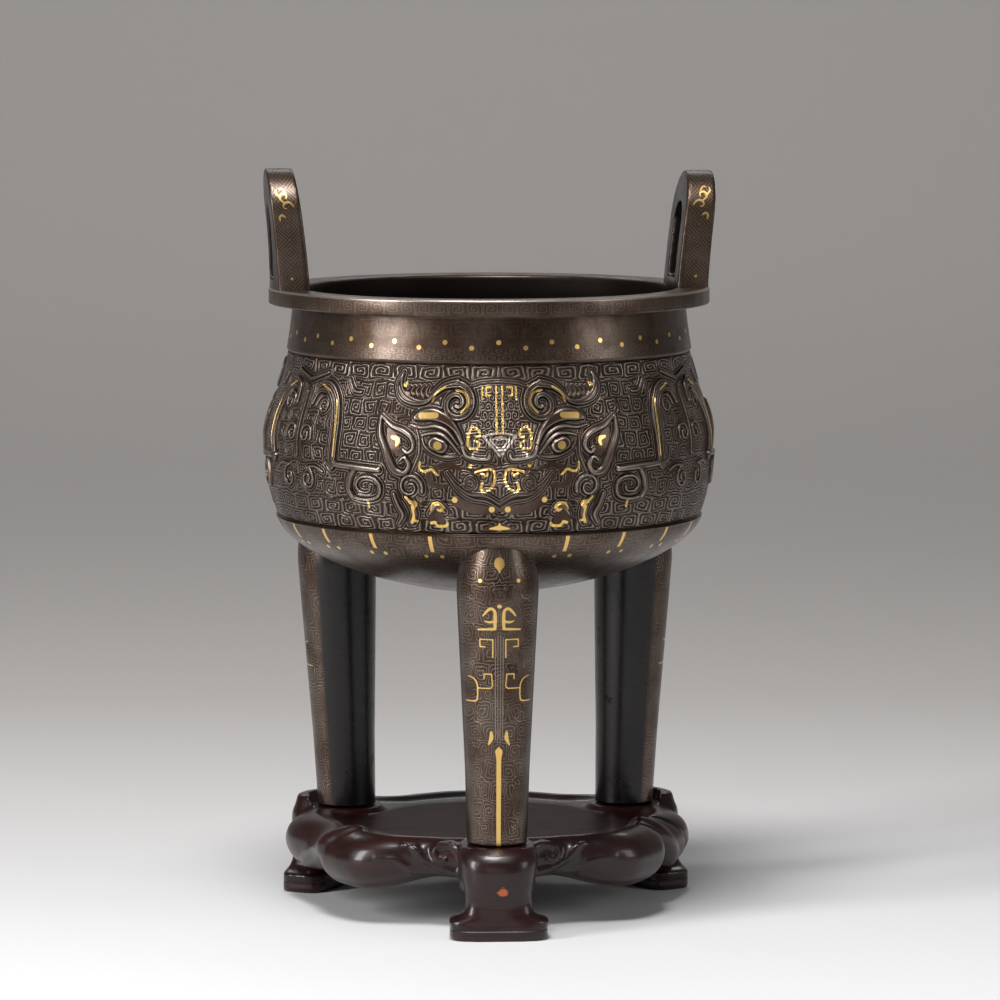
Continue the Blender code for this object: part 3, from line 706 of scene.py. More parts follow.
@dataclass
class Bowl:
    """Neck, rim, inside and bottom of the bowl, turned round its axis."""

    sizes: BowlSizes
    material: bpy.types.Material
    steps: int = 480

    def profile(self) -> list[tuple[float, float]]:
        """Returns the whole section from the outside's lowest point to the inner floor's middle.

        Returns:
            Points of (radius, height) in millimetres.
        """
        s = self.sizes
        points = [(0.0, s.base)]
        for index in range(1, 44):
            turn = math.pi / 2 * index / 44
            height = s.band_foot - (s.band_foot - s.base) * math.cos(turn) ** 1.1
            points.append((s.side(height), height))
        points += [(s.foot - 0.1, s.band_foot - 0.9), (s.foot - 0.5, s.band_foot - 0.35),
                   (s.foot - 1.2, s.band_foot + 0.2)]
        for share in (0.1, 0.25, 0.4, 0.55, 0.7, 0.85, 0.95):
            height = s.band_foot + share * (s.band_top - s.band_foot)
            points.append((s.side(height) - 1.9, height))
        points += [(s.shoulder - 1.2, s.band_top - 0.2), (s.shoulder - 0.55, s.band_top + 0.3)]
        for index in range(27):
            height = s.band_top + 0.9 + (s.rim_base - s.band_top - 1.5) * index / 26
            points.append((s.side(height), height))
        points += [(s.neck + 0.25, s.rim_base - 0.22), (s.neck + 0.9, s.rim_base)]
        points += self.rounded(s.rim, s.rim_base, 1.0, 0.55)
        points += self.rounded(s.rim, s.rim_top, -1.0, 0.75)
        points += [(s.rim - 2.4, s.rim_top), (s.mouth + 3.0, s.rim_top - 0.05),
                   (s.mouth + 0.9, s.rim_top - 0.25), (s.mouth + 0.25, s.rim_top - 0.8),
                   (s.mouth, s.rim_top - 1.8), (s.mouth, s.rim_base + 0.6),
                   (s.mouth - 0.2, s.rim_base - 0.6)]
        for share in (1.0, 0.88, 0.76, 0.64, 0.52, 0.4, 0.28, 0.14, 0.0):
            height = s.band_foot + share * (s.band_top - s.band_foot)
            points.append((s.side(height) - s.wall, height))
        widest = s.foot - s.wall
        for share in (0.12, 0.25, 0.4, 0.55, 0.68, 0.8, 0.89, 0.95, 0.985):
            radius = widest * (1.0 - share ** s.curve) ** (1.0 / s.curve)
            points.append((radius, s.band_foot - share * (s.band_foot - s.floor)))
        return points + [(7.0, s.floor), (0.0, s.floor)]

    @staticmethod
    def rounded(radius: float, height: float, way: float, size: float) -> list[tuple[float, float]]:
        """Returns a small quarter round at the rim's outer edge.

        Args:
            radius: the rim's radius.
            height: the edge's height.
            way: 1 at the lower edge, -1 at the upper one.
            size: the round's radius.

        Returns:
            Points from below upwards.
        """
        points = []
        for step in range(5):
            turn = math.pi / 2 * step / 4
            if way > 0:
                points.append((radius - size + size * math.sin(turn),
                               height + size - size * math.cos(turn)))
            else:
                points.append((radius - size + size * math.cos(turn),
                               height - size + size * math.sin(turn)))
        return points

    def build(self) -> bpy.types.Object:
        """Builds the bowl and returns it."""
        shape = spun(self.profile(), -math.pi / 2, FULL_TURN, self.steps, False)
        piece = finish_piece(shape, "bowl_body", self.material)
        where = places(piece.data)
        set_values(piece.data, "across", self.sizes.fold(where))
        set_values(piece.data, "up", where[:, 2] / MM)
        radius, height = np.hypot(where[:, 0], where[:, 1]) / MM, where[:, 2] / MM
        smooth = np.array([self.sizes.side(float(value)) for value in height])
        skin = (radius > smooth - 1.0) | (height < 104.5)
        set_values(piece.data, "outer", skin.astype(float))
        return piece


@dataclass
class Leg:
    """One tapering leg with its drawing of gold and silver, in millimetres.

    The leg is a whole column. Its domed top runs through the bowl's wall into the hollow, where
    nothing trims it.
    """

    sizes: BowlSizes
    material: bpy.types.Material
    base: float = 28.4
    shoulder: float = 108.0
    top: float = 132.0
    top_radius: float = 12.8
    foot_radius: float = 9.4
    foot_circle: float = 52.6
    lean: float = 3.4 / 79.6
    columns: int = 184
    rows: int = 236
    girth: float = 11.0

    def __post_init__(self) -> None:
        """Draws the leg's inlay, which is mirrored about its outward line."""
        self.drawing = Drawing((0.0, 24.0), (36.0, 134.0))
        for stroke in self.strokes():
            self.drawing.draw(stroke)
        self.blank = spun(self.profile(), 0.0, FULL_TURN, self.columns, False)

    def strokes(self) -> list[Stroke]:
        """Returns the inlay, from the bowl down to the foot."""
        gold, silver = Work.GOLD, Work.SILVER
        lines = [Stroke(silver, ((0.45, 61.5, 0.12), (0.45, 96.0, 0.12)), smooth=False),
                 Stroke(silver, ((1.2, 62.5, 0.12), (1.2, 95.0, 0.12)), smooth=False),
                 Stroke(silver, ((2.1, 29.0, 0.14), (2.1, 46.5, 0.14)), smooth=False)]
        return lines + [
            Stroke(gold, ((0.0, 118.6, 1.5), (0.0, 117.9, 1.5)), smooth=False),
            Stroke(gold, ((0.0, 118.0, 1.35), (0.0, 115.4, 0.1)), smooth=False),
            Stroke(gold, ((5.4, 112.8, 0.62), (5.45, 112.8, 0.62)), smooth=False),
            Stroke(gold, ((0.0, 104.9, 0.62), (0.05, 104.9, 0.62)), smooth=False),
            Stroke(gold, ((1.25, 97.8, 0.4), (1.15, 101.0, 0.46), (1.35, 103.4, 0.42),
                          (2.4, 104.2, 0.42), (3.6, 103.2, 0.36), (4.6, 101.8, 0.2))),
            Stroke(gold, ((1.2, 100.2, 0.34), (2.8, 99.9, 0.34), (4.2, 100.3, 0.16))),
            Stroke(gold, ((1.2, 97.8, 0.4), (6.2, 97.5, 0.26)), smooth=False),
            Stroke(gold, ((1.9, 88.8, 0.2), (1.8, 94.4, 0.2), (5.7, 94.4, 0.2), (5.7, 92.1, 0.2),
                          (4.2, 92.1, 0.2)), smooth=False),
            Stroke(gold, ((4.6, 81.9, 0.2), (4.6, 83.5, 0.2), (2.2, 83.5, 0.2), (2.0, 79.6, 0.2),
                          (2.6, 79.0, 0.2), (6.6, 78.9, 0.18)), smooth=False),
            Stroke(gold, ((10.6, 82.5, 0.16), (8.2, 81.9, 0.22), (6.9, 80.0, 0.24),
                          (6.9, 76.2, 0.24), (7.8, 74.8, 0.24), (12.0, 74.6, 0.18))),
            Stroke(gold, ((2.5, 65.0, 0.4), (2.5, 63.0, 0.65), (3.6, 60.8, 0.14))),
            Stroke(gold, ((0.0, 60.4, 0.12), (0.0, 58.8, 1.2)), smooth=False),
            Stroke(gold, ((0.0, 58.8, 1.2), (0.0, 56.6, 0.8)), smooth=False),
            Stroke(gold, ((0.0, 57.0, 0.78), (0.0, 28.0, 0.78)), smooth=False),
            *(Stroke(silver, coil(centre, outer, 0.3, start, turn, 0.12))
              for centre, outer, start, turn in (
                  ((3.0, 111.0), 1.9, 90.0, 540.0), ((8.4, 115.0), 1.9, 0.0, -540.0),
                  ((8.2, 108.6), 1.9, 180.0, 540.0), ((9.6, 101.0), 2.1, 90.0, -540.0),
                  ((9.0, 86.2), 1.7, 0.0, 540.0), ((7.4, 70.0), 2.1, 180.0, 540.0),
                  ((7.6, 61.6), 1.9, 0.0, -540.0), ((6.6, 48.6), 2.2, 90.0, 540.0),
                  ((6.4, 36.0), 2.0, 270.0, -540.0))),
        ]

    def profile(self) -> list[tuple[float, float]]:
        """Returns the leg's section from its dome to the middle of its underside.

        Returns:
            Points of (radius, height) in millimetres.
        """
        points = []
        for step in range(1, 60):
            turn = math.pi / 2 * step / 60
            points.append((self.top_radius * math.sin(turn),
                           self.shoulder + (self.top - self.shoulder) * math.cos(turn)))
        for step in range(self.rows + 1):
            height = self.shoulder + (self.base - self.shoulder) * step / self.rows
            share = (height - self.base) / (self.shoulder - self.base)
            bend = share / 0.3 * 0.22 if share < 0.3 else 0.22 + 0.78 * (share - 0.3) / 0.7
            points.append((self.foot_radius + (self.top_radius - self.foot_radius) * bend, height))
        lip = points.pop()
        points += [(lip[0], lip[1] + 0.35), (lip[0] - 0.12, lip[1] + 0.1), (lip[0] - 0.4, lip[1])]
        return [(0.0, self.top)] + points + [(0.0, self.base)]

    def build(self, angle: float, label: str) -> bpy.types.Object:
        """Builds one leg.

        Args:
            angle: where it stands, in radians from +X.
            label: which leg it is.

        Returns:
            The leg.
        """
        piece = finish_piece(self.blank.copy(), f"leg_{label}", self.material)
        mesh = piece.data
        where = places(mesh)
        u = np.abs(np.arctan2(where[:, 1], where[:, 0])) * self.girth
        height = where[:, 2] / MM
        where[:, 0] += (self.foot_circle + self.lean * (height - self.base)) * MM
        turned = where.copy()
        turned[:, 0] = where[:, 0] * math.cos(angle) - where[:, 1] * math.sin(angle)
        turned[:, 1] = where[:, 0] * math.sin(angle) + where[:, 1] * math.cos(angle)
        mesh.vertices.foreach_set("co", turned.ravel())
        mesh.update()
        set_values(mesh, "across", u)
        set_values(mesh, "up", height)
        for name in ("gold", "silver"):
            set_values(mesh, name, self.drawing.sample(getattr(self.drawing, name), u, height))
        return piece


@dataclass
class Handle:
    """One upright loop handle on the rim, in millimetres."""

    material: bpy.types.Material
    rim_top: float = 199.9
    half_width: float = 15.5
    foot_depth: float = 11.2
    top_depth: float = 8.8
    lean: float = 2.1
    outside: float = 69.9
    rise: float = 38.0
    root: float = 2.6
    hole_half: float = 7.1
    hole_low: float = 2.5
    hole_top: float = 26.8
    turn_steps: int = 40
    rim_edge: float = 70.3
    lean_power: float = 1.6
    voxel: float = 0.4
    rounds: int = 14

    def __post_init__(self) -> None:
        """Draws the gold scrolls on the narrow faces."""
        self.drawing = Drawing((-6.0, -4.0), (6.0, 39.0))
        gold = Work.GOLD
        for stroke in (
            Stroke(gold, ((-2.6, 26.4, 0.3), (-1.2, 27.8, 0.4), (0.4, 27.4, 0.4), (0.8, 26.2, 0.3),
                          (-0.2, 25.8, 0.3))),
            Stroke(gold, ((0.4, 27.6, 0.35), (1.6, 29.0, 0.4), (0.8, 30.4, 0.4), (-0.6, 30.0, 0.35),
                          (-0.4, 29.0, 0.3))),
            Stroke(gold, ((1.4, 29.2, 0.35), (2.6, 30.6, 0.35), (2.4, 31.6, 0.3))),
            Stroke(gold, ((-0.4, 30.8, 0.3), (0.4, 32.0, 0.35), (1.4, 31.8, 0.3))),
            Stroke(gold, ((0.6, 23.2, 0.35), (1.6, 23.8, 0.4), (2.4, 23.0, 0.4), (2.2, 21.8, 0.3))),
            Stroke(gold, ((0.0, 3.6, 0.5), (0.1, 3.7, 0.5)), smooth=False),
        ):
            self.drawing.draw(stroke)

    def outline(self, half: float, low: float, top: float) -> list[Vector]:
        """Returns a tab with a round head.

        Args:
            half: half its width.
            low: its lowest height.
            top: its highest height.

        Returns:
            Points in the X-Z plane, from the middle of its foot round to the same place.
        """
        spring = top - half
        points = [Vector((half * t / 6, 0.0, low)) for t in range(6)]
        points += [Vector((half, 0.0, low + (spring - low) * t / 24)) for t in range(24)]
        for step in range(self.turn_steps):
            turn = math.pi * step / self.turn_steps
            points.append(Vector((half * math.cos(turn), 0.0, spring + half * math.sin(turn))))
        points += [Vector((-half, 0.0, spring - (spring - low) * t / 24)) for t in range(24)]
        points += [Vector((-half + half * t / 6, 0.0, low)) for t in range(6)]
        return points

    def build(self, angle: float, label: str) -> bpy.types.Object:
        """Builds one handle.

        Args:
            angle: where it stands, in radians from +X.
            label: which handle it is.

        Returns:
            The handle.
        """
        shape = bmesh.new()
        rings = []
        for outline in (self.outline(self.half_width, -self.root, self.rise),
                        self.outline(self.hole_half, self.hole_low, self.hole_top)):
            verts = [shape.verts.new(point) for point in outline]
            rings.append([shape.edges.new(pair) for pair in zip(verts, verts[1:] + verts[:1])])
        bmesh.ops.bridge_loops(shape, edges=rings[0] + rings[1])
        raised = bmesh.ops.extrude_face_region(shape, geom=list(shape.faces), use_keep_orig=True)
        moved = [item for item in raised["geom"] if isinstance(item, bmesh.types.BMVert)]
        bmesh.ops.translate(shape, verts=moved, vec=(0.0, 1.0, 0.0))
        bmesh.ops.remove_doubles(shape, verts=shape.verts, dist=1e-5)
        bmesh.ops.recalc_face_normals(shape, faces=shape.faces)
        self.place(shape)
        shape = grown(shape, self.voxel, self.rounds)
        bmesh.ops.transform(shape, matrix=Matrix.Rotation(angle, 4, "Z"), verts=shape.verts)
        piece = finish_piece(shape, f"handle_{label}", self.material)
        mesh = piece.data
        where = places(mesh) / MM
        out = where[:, 0] * math.cos(angle) + where[:, 1] * math.sin(angle)
        along = where[:, 1] * math.cos(angle) - where[:, 0] * math.sin(angle)
        rise = where[:, 2] - self.rim_top
        share = np.clip(rise / self.rise, 0.0, 1.0)
        middle = self.outside + self.lean * share ** self.lean_power
        middle -= 0.5 * (self.foot_depth + (self.top_depth - self.foot_depth) * share)
        ring = np.where(rise < self.rise - self.half_width, np.abs(along),
                        np.hypot(along, rise - self.rise + self.half_width))
        set_values(mesh, "across", out - middle)
        set_values(mesh, "up", rise)
        set_values(mesh, "outer", (ring > self.half_width - 1.3).astype(float))
        set_values(mesh, "gold", self.drawing.sample(self.drawing.gold, out - middle, rise))
        return piece

    def place(self, shape: bmesh.types.BMesh) -> None:
        """Moves the flat tab to its place over +X, thicker at its foot and leaning outwards.

        Args:
            shape: the tab, in millimetres, 1 deep from its inner to its outer side.
        """
        for vert in shape.verts:
            along, side, rise = vert.co
            share = max(0.0, rise / self.rise)
            depth = self.foot_depth + (self.top_depth - self.foot_depth) * share
            # At its foot the outer side follows the rim's round edge
            bend = self.outside - math.sqrt(self.rim_edge ** 2 - along ** 2)
            bend *= max(0.0, 1.0 - 1.3 * share)
            radius = self.outside + self.lean * share ** self.lean_power
            radius = radius - bend * side - depth * (1.0 - side)
            vert.co = Vector((radius, along, self.rim_top + rise)) * MM


@dataclass(frozen=True)
class InlaidBronze:
    """Cast bronze with a dark brown patina, rubbed by hands and laid in with gold and silver.

    The patina is thin copper oxide over metal, so it stays metallic but dark and mottled. The
    ridges are polished by handling and show paler metal.
    """

    patina: str = "#54463c"
    warm: str = "#3d2a1d"
    # Near-black of patina in recesses and of stains, also used as painted shade inside the bowl
    hollow: str = "#120d0a"
    bare: str = "#262423"
    worn: str = "#b9ada3"
    gold: str = "#e2ba6c"
    silver: str = "#b0a497"
    metallic: float = 0.88
    wax: float = 0.24
    wax_roughness: float = 0.24

    def attribute(self, graph: Graph, name: str) -> bpy.types.NodeSocket:
        """Returns a number that a piece keeps at its vertices."""
        return graph.add("Attribute", attribute_type="GEOMETRY", attribute_name=name).outputs["Fac"]

    def below(self, graph: Graph, value: object, edge: float, blur: float) -> bpy.types.Node:
        """Returns 1 where a value is below an edge and 0 above it, over a short blur."""
        return graph.add("MapRange", {0: value, 1: edge + blur, 2: edge - blur, 3: 0.0, 4: 1.0},
                         interpolation_type="SMOOTHSTEP")

    def spirals(self, graph: Graph, u: object, v: object, wide: float, tall: float,
                pitch: float) -> bpy.types.Node:
        """Works out rows of squared spirals, each cell the mirror of its neighbour.

        Args:
            graph: the material's tree.
            u: place across, in millimetres.
            v: place up, in millimetres.
            wide: a cell's width.
            tall: a cell's height.
            pitch: the spacing of the lines.

        Returns:
            1 on the lines and 0 between them.
        """
        row_place = graph.add("Math", v, tall, operation="DIVIDE")
        row = graph.add("Math", row_place, operation="FLOOR")
        odd_row = graph.add("Math", row, 2.0, operation="FLOORED_MODULO")
        shift = graph.add("Math", odd_row, 0.5, 0.0, operation="MULTIPLY_ADD")
        col_place = graph.add("Math", u, 1.0 / wide, shift, operation="MULTIPLY_ADD")
        col = graph.add("Math", col_place, operation="FLOOR")
        both = graph.add("Math", row, col, operation="ADD")
        odd = graph.add("Math", both, 2.0, operation="FLOORED_MODULO")
        flip = graph.add("Math", odd, -2.0, 1.0, operation="MULTIPLY_ADD")
        x = graph.add("Math", graph.add("Math", col_place, operation="FRACT"), 0.5,
                      operation="SUBTRACT")
        x = graph.add("Math", graph.add("Math", x, tall, operation="MULTIPLY"), flip,
                      operation="MULTIPLY")
        y = graph.add("Math", graph.add("Math", row_place, operation="FRACT"), 0.5,
                      operation="SUBTRACT")
        y = graph.add("Math", y, tall, operation="MULTIPLY")
        ring = graph.add("Math", graph.add("Math", x, operation="ABSOLUTE"),
                         graph.add("Math", y, operation="ABSOLUTE"), 0.9, operation="SMOOTH_MAX")
        angle = graph.add("Math", y, x, operation="ARCTAN2")
        phase = graph.add("Math", ring, FULL_TURN / pitch, angle, operation="MULTIPLY_ADD")
        return graph.add("Math", graph.add("Math", phase, operation="SINE"), 0.5, 0.5,
                         operation="MULTIPLY_ADD")

    def finish(self, graph: Graph, worn: object, hollow: object, gold: object, silver: object,
               height: object, bare: object = 0.0) -> bpy.types.Material:
        """Puts patina, wear and inlay together.

        Args:
            graph: the material's tree.
            worn: how polished each place is, from 0 to 1.
            hollow: how far each place is darkened to near-black, from 0 to 1: dark patina in recesses,
                stains, and painted shade inside the bowl.
            gold: 1 on gold.
            silver: 1 on silver.
            height: fine relief in millimetres.
            bare: 1 where the metal is plain, grey-black and smooth.

        Returns:
            The material.
        """
        place = graph.add("TexCoord").outputs["Object"]
        # Mottling of the patina about 12 mm across, and grain of the cast skin about 0.5 mm
        mottle = graph.add("TexNoise", {"Vector": place, "Scale": 85.0, "Detail": 6.0,
                                        "Roughness": 0.62}).outputs["Fac"]
        grain = graph.add("TexNoise", {"Vector": place, "Scale": 1900.0,
                                       "Detail": 3.0}).outputs["Fac"]
        stain = graph.add("MapRange", {0: mottle, 1: 0.40, 2: 0.62, 3: 0.0, 4: 1.0})
        base = graph.add("Mix", {0: stain, 6: linear(self.patina), 7: linear(self.warm)},
                         data_type="RGBA")
        speck = graph.add("MapRange", {0: grain, 1: 0.3, 2: 0.7, 3: 0.82, 4: 1.15})
        base = graph.add("Mix", {0: 1.0, 6: base, 7: speck}, data_type="RGBA",
                         blend_type="MULTIPLY")
        for share, code in ((bare, self.bare), (worn, self.worn), (hollow, self.hollow),
                            (silver, self.silver), (gold, self.gold)):
            base = graph.add("Mix", {0: share, 6: base, 7: linear(code)}, data_type="RGBA")
        rough = graph.add("MapRange", {0: mottle, 1: 0.3, 2: 0.7, 3: 0.30, 4: 0.44})
        rough = graph.add("Math", hollow, 0.14, rough, operation="MULTIPLY_ADD")
        rough = graph.add("Math", worn, -0.06, rough, operation="MULTIPLY_ADD")
        rough = graph.add("Math", bare, -0.08, rough, operation="MULTIPLY_ADD")
        inlay = graph.add("Math", gold, silver, operation="MAXIMUM")
        rough = graph.add("Mix", {0: inlay, 2: rough, 3: 0.3}, data_type="FLOAT")
        skin = graph.add("Math", grain, 0.035, height, operation="MULTIPLY_ADD")
        skin = graph.add("Math", mottle, 0.10, skin, operation="MULTIPLY_ADD")
        bump = graph.add("Bump", {"Height": skin, "Distance": MM, "Strength": 1.0})
        # Old wax over the patina gives the white shine of the strongest light
        wax = graph.add("Math", hollow, -self.wax, self.wax, operation="MULTIPLY_ADD")
        shader = graph.add("BsdfPrincipled", {"Base Color": base, "Metallic": self.metallic,
                                              "Roughness": rough, "Coat Weight": wax,
                                              "Coat Roughness": self.wax_roughness,
                                              "Coat Normal": bump,
                                              "Normal": bump})
        graph.add("OutputMaterial", {"Surface": shader})
        return graph.material

    def band(self) -> bpy.types.Material:
        """Returns the finish of the mask panels: worked ground, fluted forms and inlay."""
        graph = Graph("inlaid_bronze_band")
        u, v = self.attribute(graph, "across"), self.attribute(graph, "up")
        echo, plain = self.attribute(graph, "echo"), self.attribute(graph, "plain")
        shade = self.attribute(graph, "shade")
        # Hand-cut lines waver by up to half a millimetre
        place = graph.add("TexCoord").outputs["Object"]
        waver = graph.add("TexNoise", {"Vector": place, "Scale": 170.0,
                                       "Detail": 2.0}).outputs["Color"]
        drift = graph.add("SeparateColor", waver)
        lean = graph.add("Math", drift.outputs[0], 0.5, operation="SUBTRACT")
        rise = graph.add("Math", drift.outputs[1], 0.5, operation="SUBTRACT")
        u = graph.add("Math", lean, 2.6, u, operation="MULTIPLY_ADD")
        v = graph.add("Math", rise, 2.0, v, operation="MULTIPLY_ADD")
        squares = self.spirals(graph, u, v, 5.6, 5.1, 0.88)
        meander = self.spirals(graph, u, v, 8.4, 4.6, 0.8)
        strip = self.spirals(graph, u, graph.add("Math", v, 1.3, operation="SUBTRACT"),
                             9.4, 4.55, 0.84)
        brow = self.spirals(graph, u, v, 2.5, 2.7, 0.78)
        low = self.below(graph, v, 9.4, 0.3)
        ground = graph.add("Mix", {0: low, 2: squares, 3: meander}, data_type="FLOAT")
        high = graph.add("MapRange", {0: v, 1: 46.4, 2: 46.9, 3: 0.0, 4: 1.0})
        ground = graph.add("Mix", {0: high, 2: ground, 3: strip}, data_type="FLOAT")
        front = graph.add("Math", self.below(graph, u, 6.6, 0.2), self.above(graph, v, 30.5),
                          operation="MULTIPLY")
        front = graph.add("Math", front, self.below(graph, v, 45.8, 0.2), operation="MULTIPLY")
        ground = graph.add("Mix", {0: front, 2: ground, 3: brow}, data_type="FLOAT")
        phase = graph.add("Math", echo, FULL_TURN / 0.84, -1.7, operation="MULTIPLY_ADD")
        rings = graph.add("Math", graph.add("Math", phase, operation="SINE"), 0.5, 0.5,
                          operation="MULTIPLY_ADD")
        near = self.below(graph, echo, 1.35, 0.2)
        lines = graph.add("Mix", {0: near, 2: ground, 3: rings}, data_type="FLOAT")
        smooth = self.below(graph, plain, 0.05, 0.12)
        lines = graph.add("Mix", {0: smooth, 2: lines, 3: 0.66}, data_type="FLOAT")
        # Handling wears some places more than others, over about 15 mm
        rubbed = graph.add("TexNoise", {"Vector": place, "Scale": 70.0,
                                        "Detail": 4.0}).outputs["Fac"]
        rubbed = graph.add("MapRange", {0: rubbed, 1: 0.35, 2: 0.65, 3: 0.16, 4: 0.52})
        ridge = graph.add("MapRange", {0: lines, 1: 0.72, 2: 1.0, 3: 0.0, 4: 1.0})
        ridge = graph.add("Math", ridge, rubbed, operation="MULTIPLY")
        proud = graph.add("MapRange", {0: shade, 1: 0.12, 2: 0.55, 3: 0.0, 4: 0.85})
        worn = graph.add("Math", ridge, proud, operation="MAXIMUM")
        valley = graph.add("MapRange", {0: lines, 1: 0.5, 2: 0.05, 3: 0.0, 4: 0.68})
        foot = graph.add("MapRange", {0: shade, 1: -0.08, 2: -0.36, 3: 0.0, 4: 0.85})
        hollow = graph.add("Math", valley, foot, operation="MAXIMUM")
        height = graph.add("Math", lines, 0.28, operation="MULTIPLY")
        gold = self.below(graph, self.attribute(graph, "gold"), 0.07, 0.07)
        silver = self.below(graph, self.attribute(graph, "silver"), 0.03, 0.07)
        return self.finish(graph, worn, hollow, gold, silver, height)

    def bowl(self) -> bpy.types.Material:
        """Returns the finish of rim, neck, inside and bottom, with painted shade inside below the lip.
        """
        graph = Graph("inlaid_bronze_bowl")
        u, v = self.attribute(graph, "across"), self.attribute(graph, "up")
        place = graph.add("TexCoord").outputs["Object"]
        parts = graph.add("SeparateXYZ", place)
        x, y = parts.outputs[0], parts.outputs[1]
        radius = graph.add("Math", graph.add("Math", x, x, operation="MULTIPLY"),
                           graph.add("Math", y, y, operation="MULTIPLY"), operation="ADD")
        radius = graph.add("Math", graph.add("Math", radius, operation="SQRT"), 1.0 / MM,
                           operation="MULTIPLY")
        outside = self.attribute(graph, "outer")
        rim = self.spirals(graph, u, graph.add("Math", v, 195.2, operation="SUBTRACT"),
                           5.4, 4.2, 0.84)
        on_rim = graph.add("Math", self.above(graph, v, 195.4), self.above(graph, radius, 69.9),
                           operation="MULTIPLY")
        on_rim = graph.add("Math", on_rim, self.below(graph, v, 199.3, 0.05), operation="MULTIPLY")
        fret = self.spirals(graph, u, graph.add("Math", v, 180.6, operation="SUBTRACT"),
                            4.7, 2.1, 0.62)
        on_fret = graph.add("Math", self.above(graph, v, 180.6), self.below(graph, v, 184.6, 0.05),
                            operation="MULTIPLY")
        scroll = self.spirals(graph, self.waver(graph, u, place, 4.0),
                              graph.add("Math", v, 186.9, operation="SUBTRACT"), 9.0, 6.4, 1.3)
        on_neck = graph.add("Math", self.above(graph, v, 187.4), self.below(graph, v, 193.4, 0.2),
                            operation="MULTIPLY")
        low = self.spirals(graph, self.waver(graph, u, place, 4.0),
                           self.waver(graph, v, place, 3.0),
                           7.4, 5.6, 1.05)
        on_low = graph.add("Math", self.below(graph, v, 126.6, 0.1), outside, operation="MULTIPLY")
        silver = None
        for lines, where, edge, strength in ((rim, on_rim, 0.88, 0.15), (fret, on_fret, 0.86, 0.13),
                                             (scroll, on_neck, 0.95, 0.09), (low, on_low, 0.9,
                                                                             0.2)):
            wire = graph.add("MapRange", {0: lines, 1: edge - 0.05, 2: edge + 0.1, 3: 0.0,
                                          4: strength})
            wire = graph.add("Math", wire, where, operation="MULTIPLY")
            silver = wire if silver is None else graph.add("Math", silver, wire,
                                                           operation="MAXIMUM")
        silver = graph.add("Math", silver, outside, operation="MULTIPLY")
        gold = graph.add("Math", self.dots(graph, u, v), self.bars(graph, u, v),
                         operation="MAXIMUM")
        gold = graph.add("Math", gold, outside, operation="MULTIPLY")
        # Inside below the lip the bowl is painted near-black with the hollow colour: painted shade of
        # the deep bowl
        inner = graph.add("Math", 1.0, outside, operation="SUBTRACT")
        painted_shade_below_rim = self.below(graph, v, 199.1, 0.3)
        hollow = graph.add("Math", graph.add("Math", inner, painted_shade_below_rim, operation="MULTIPLY"), 0.97,
                           operation="MULTIPLY")
        edge = graph.add("Math", self.above(graph, v, 199.25), self.above(graph, radius, 69.4),
                         operation="MULTIPLY")
        worn = graph.add("Math", edge, 0.7, operation="MULTIPLY")
        return self.finish(graph, worn, hollow, gold, silver, 0.0)

    def waver(self, graph: Graph, value: object, place: object, amount: float) -> bpy.types.Node:
        """Lets a place across or up drift by hand, over about 6 mm.

        Args:
            graph: the material's tree.
            value: the place, in millimetres.
            place: where the noise is read.
            amount: how far it drifts, in millimetres.

        Returns:
            The drifting place.
        """
        drift = graph.add("TexNoise", {"Vector": place, "Scale": 150.0,
                                       "Detail": 2.0}).outputs["Fac"]
        drift = graph.add("Math", drift, 0.5, operation="SUBTRACT")
        return graph.add("Math", drift, amount, value, operation="MULTIPLY_ADD")

    def above(self, graph: Graph, value: object, edge: float) -> bpy.types.Node:
        """Returns 1 above an edge and 0 below it."""
        return graph.add("Math", value, edge, operation="GREATER_THAN")

    def dots(self, graph: Graph, u: object, v: object) -> bpy.types.Node:
        """Returns the zigzag row of gold dots on the neck, 48 round.

        Args:
            graph: the material's tree.
            u: place across, in millimetres.
            v: place up, in millimetres.

        Returns:
            1 on the dots.
        """
        spacing = HALF_PANEL / 8.0
        place = graph.add("Math", u, 1.0 / spacing, 0.5, operation="MULTIPLY_ADD")
        index = graph.add("Math", place, operation="FLOOR")
        off = graph.add("Math", graph.add("Math", place, operation="FRACT"), 0.5,
                        operation="SUBTRACT")
        off = graph.add("Math", off, spacing * 0.86, operation="MULTIPLY")
        odd = graph.add("Math", index, 2.0, operation="FLOORED_MODULO")
        level = graph.add("Math", odd, -1.7, 186.4, operation="MULTIPLY_ADD")
        rise = graph.add("Math", v, level, operation="SUBTRACT")
        gap = graph.add("Math", graph.add("Math", off, off, operation="MULTIPLY"),
                        graph.add("Math", rise, rise, operation="MULTIPLY"), operation="ADD")
        return self.below(graph, graph.add("Math", gap, operation="SQRT"), 0.74, 0.06)

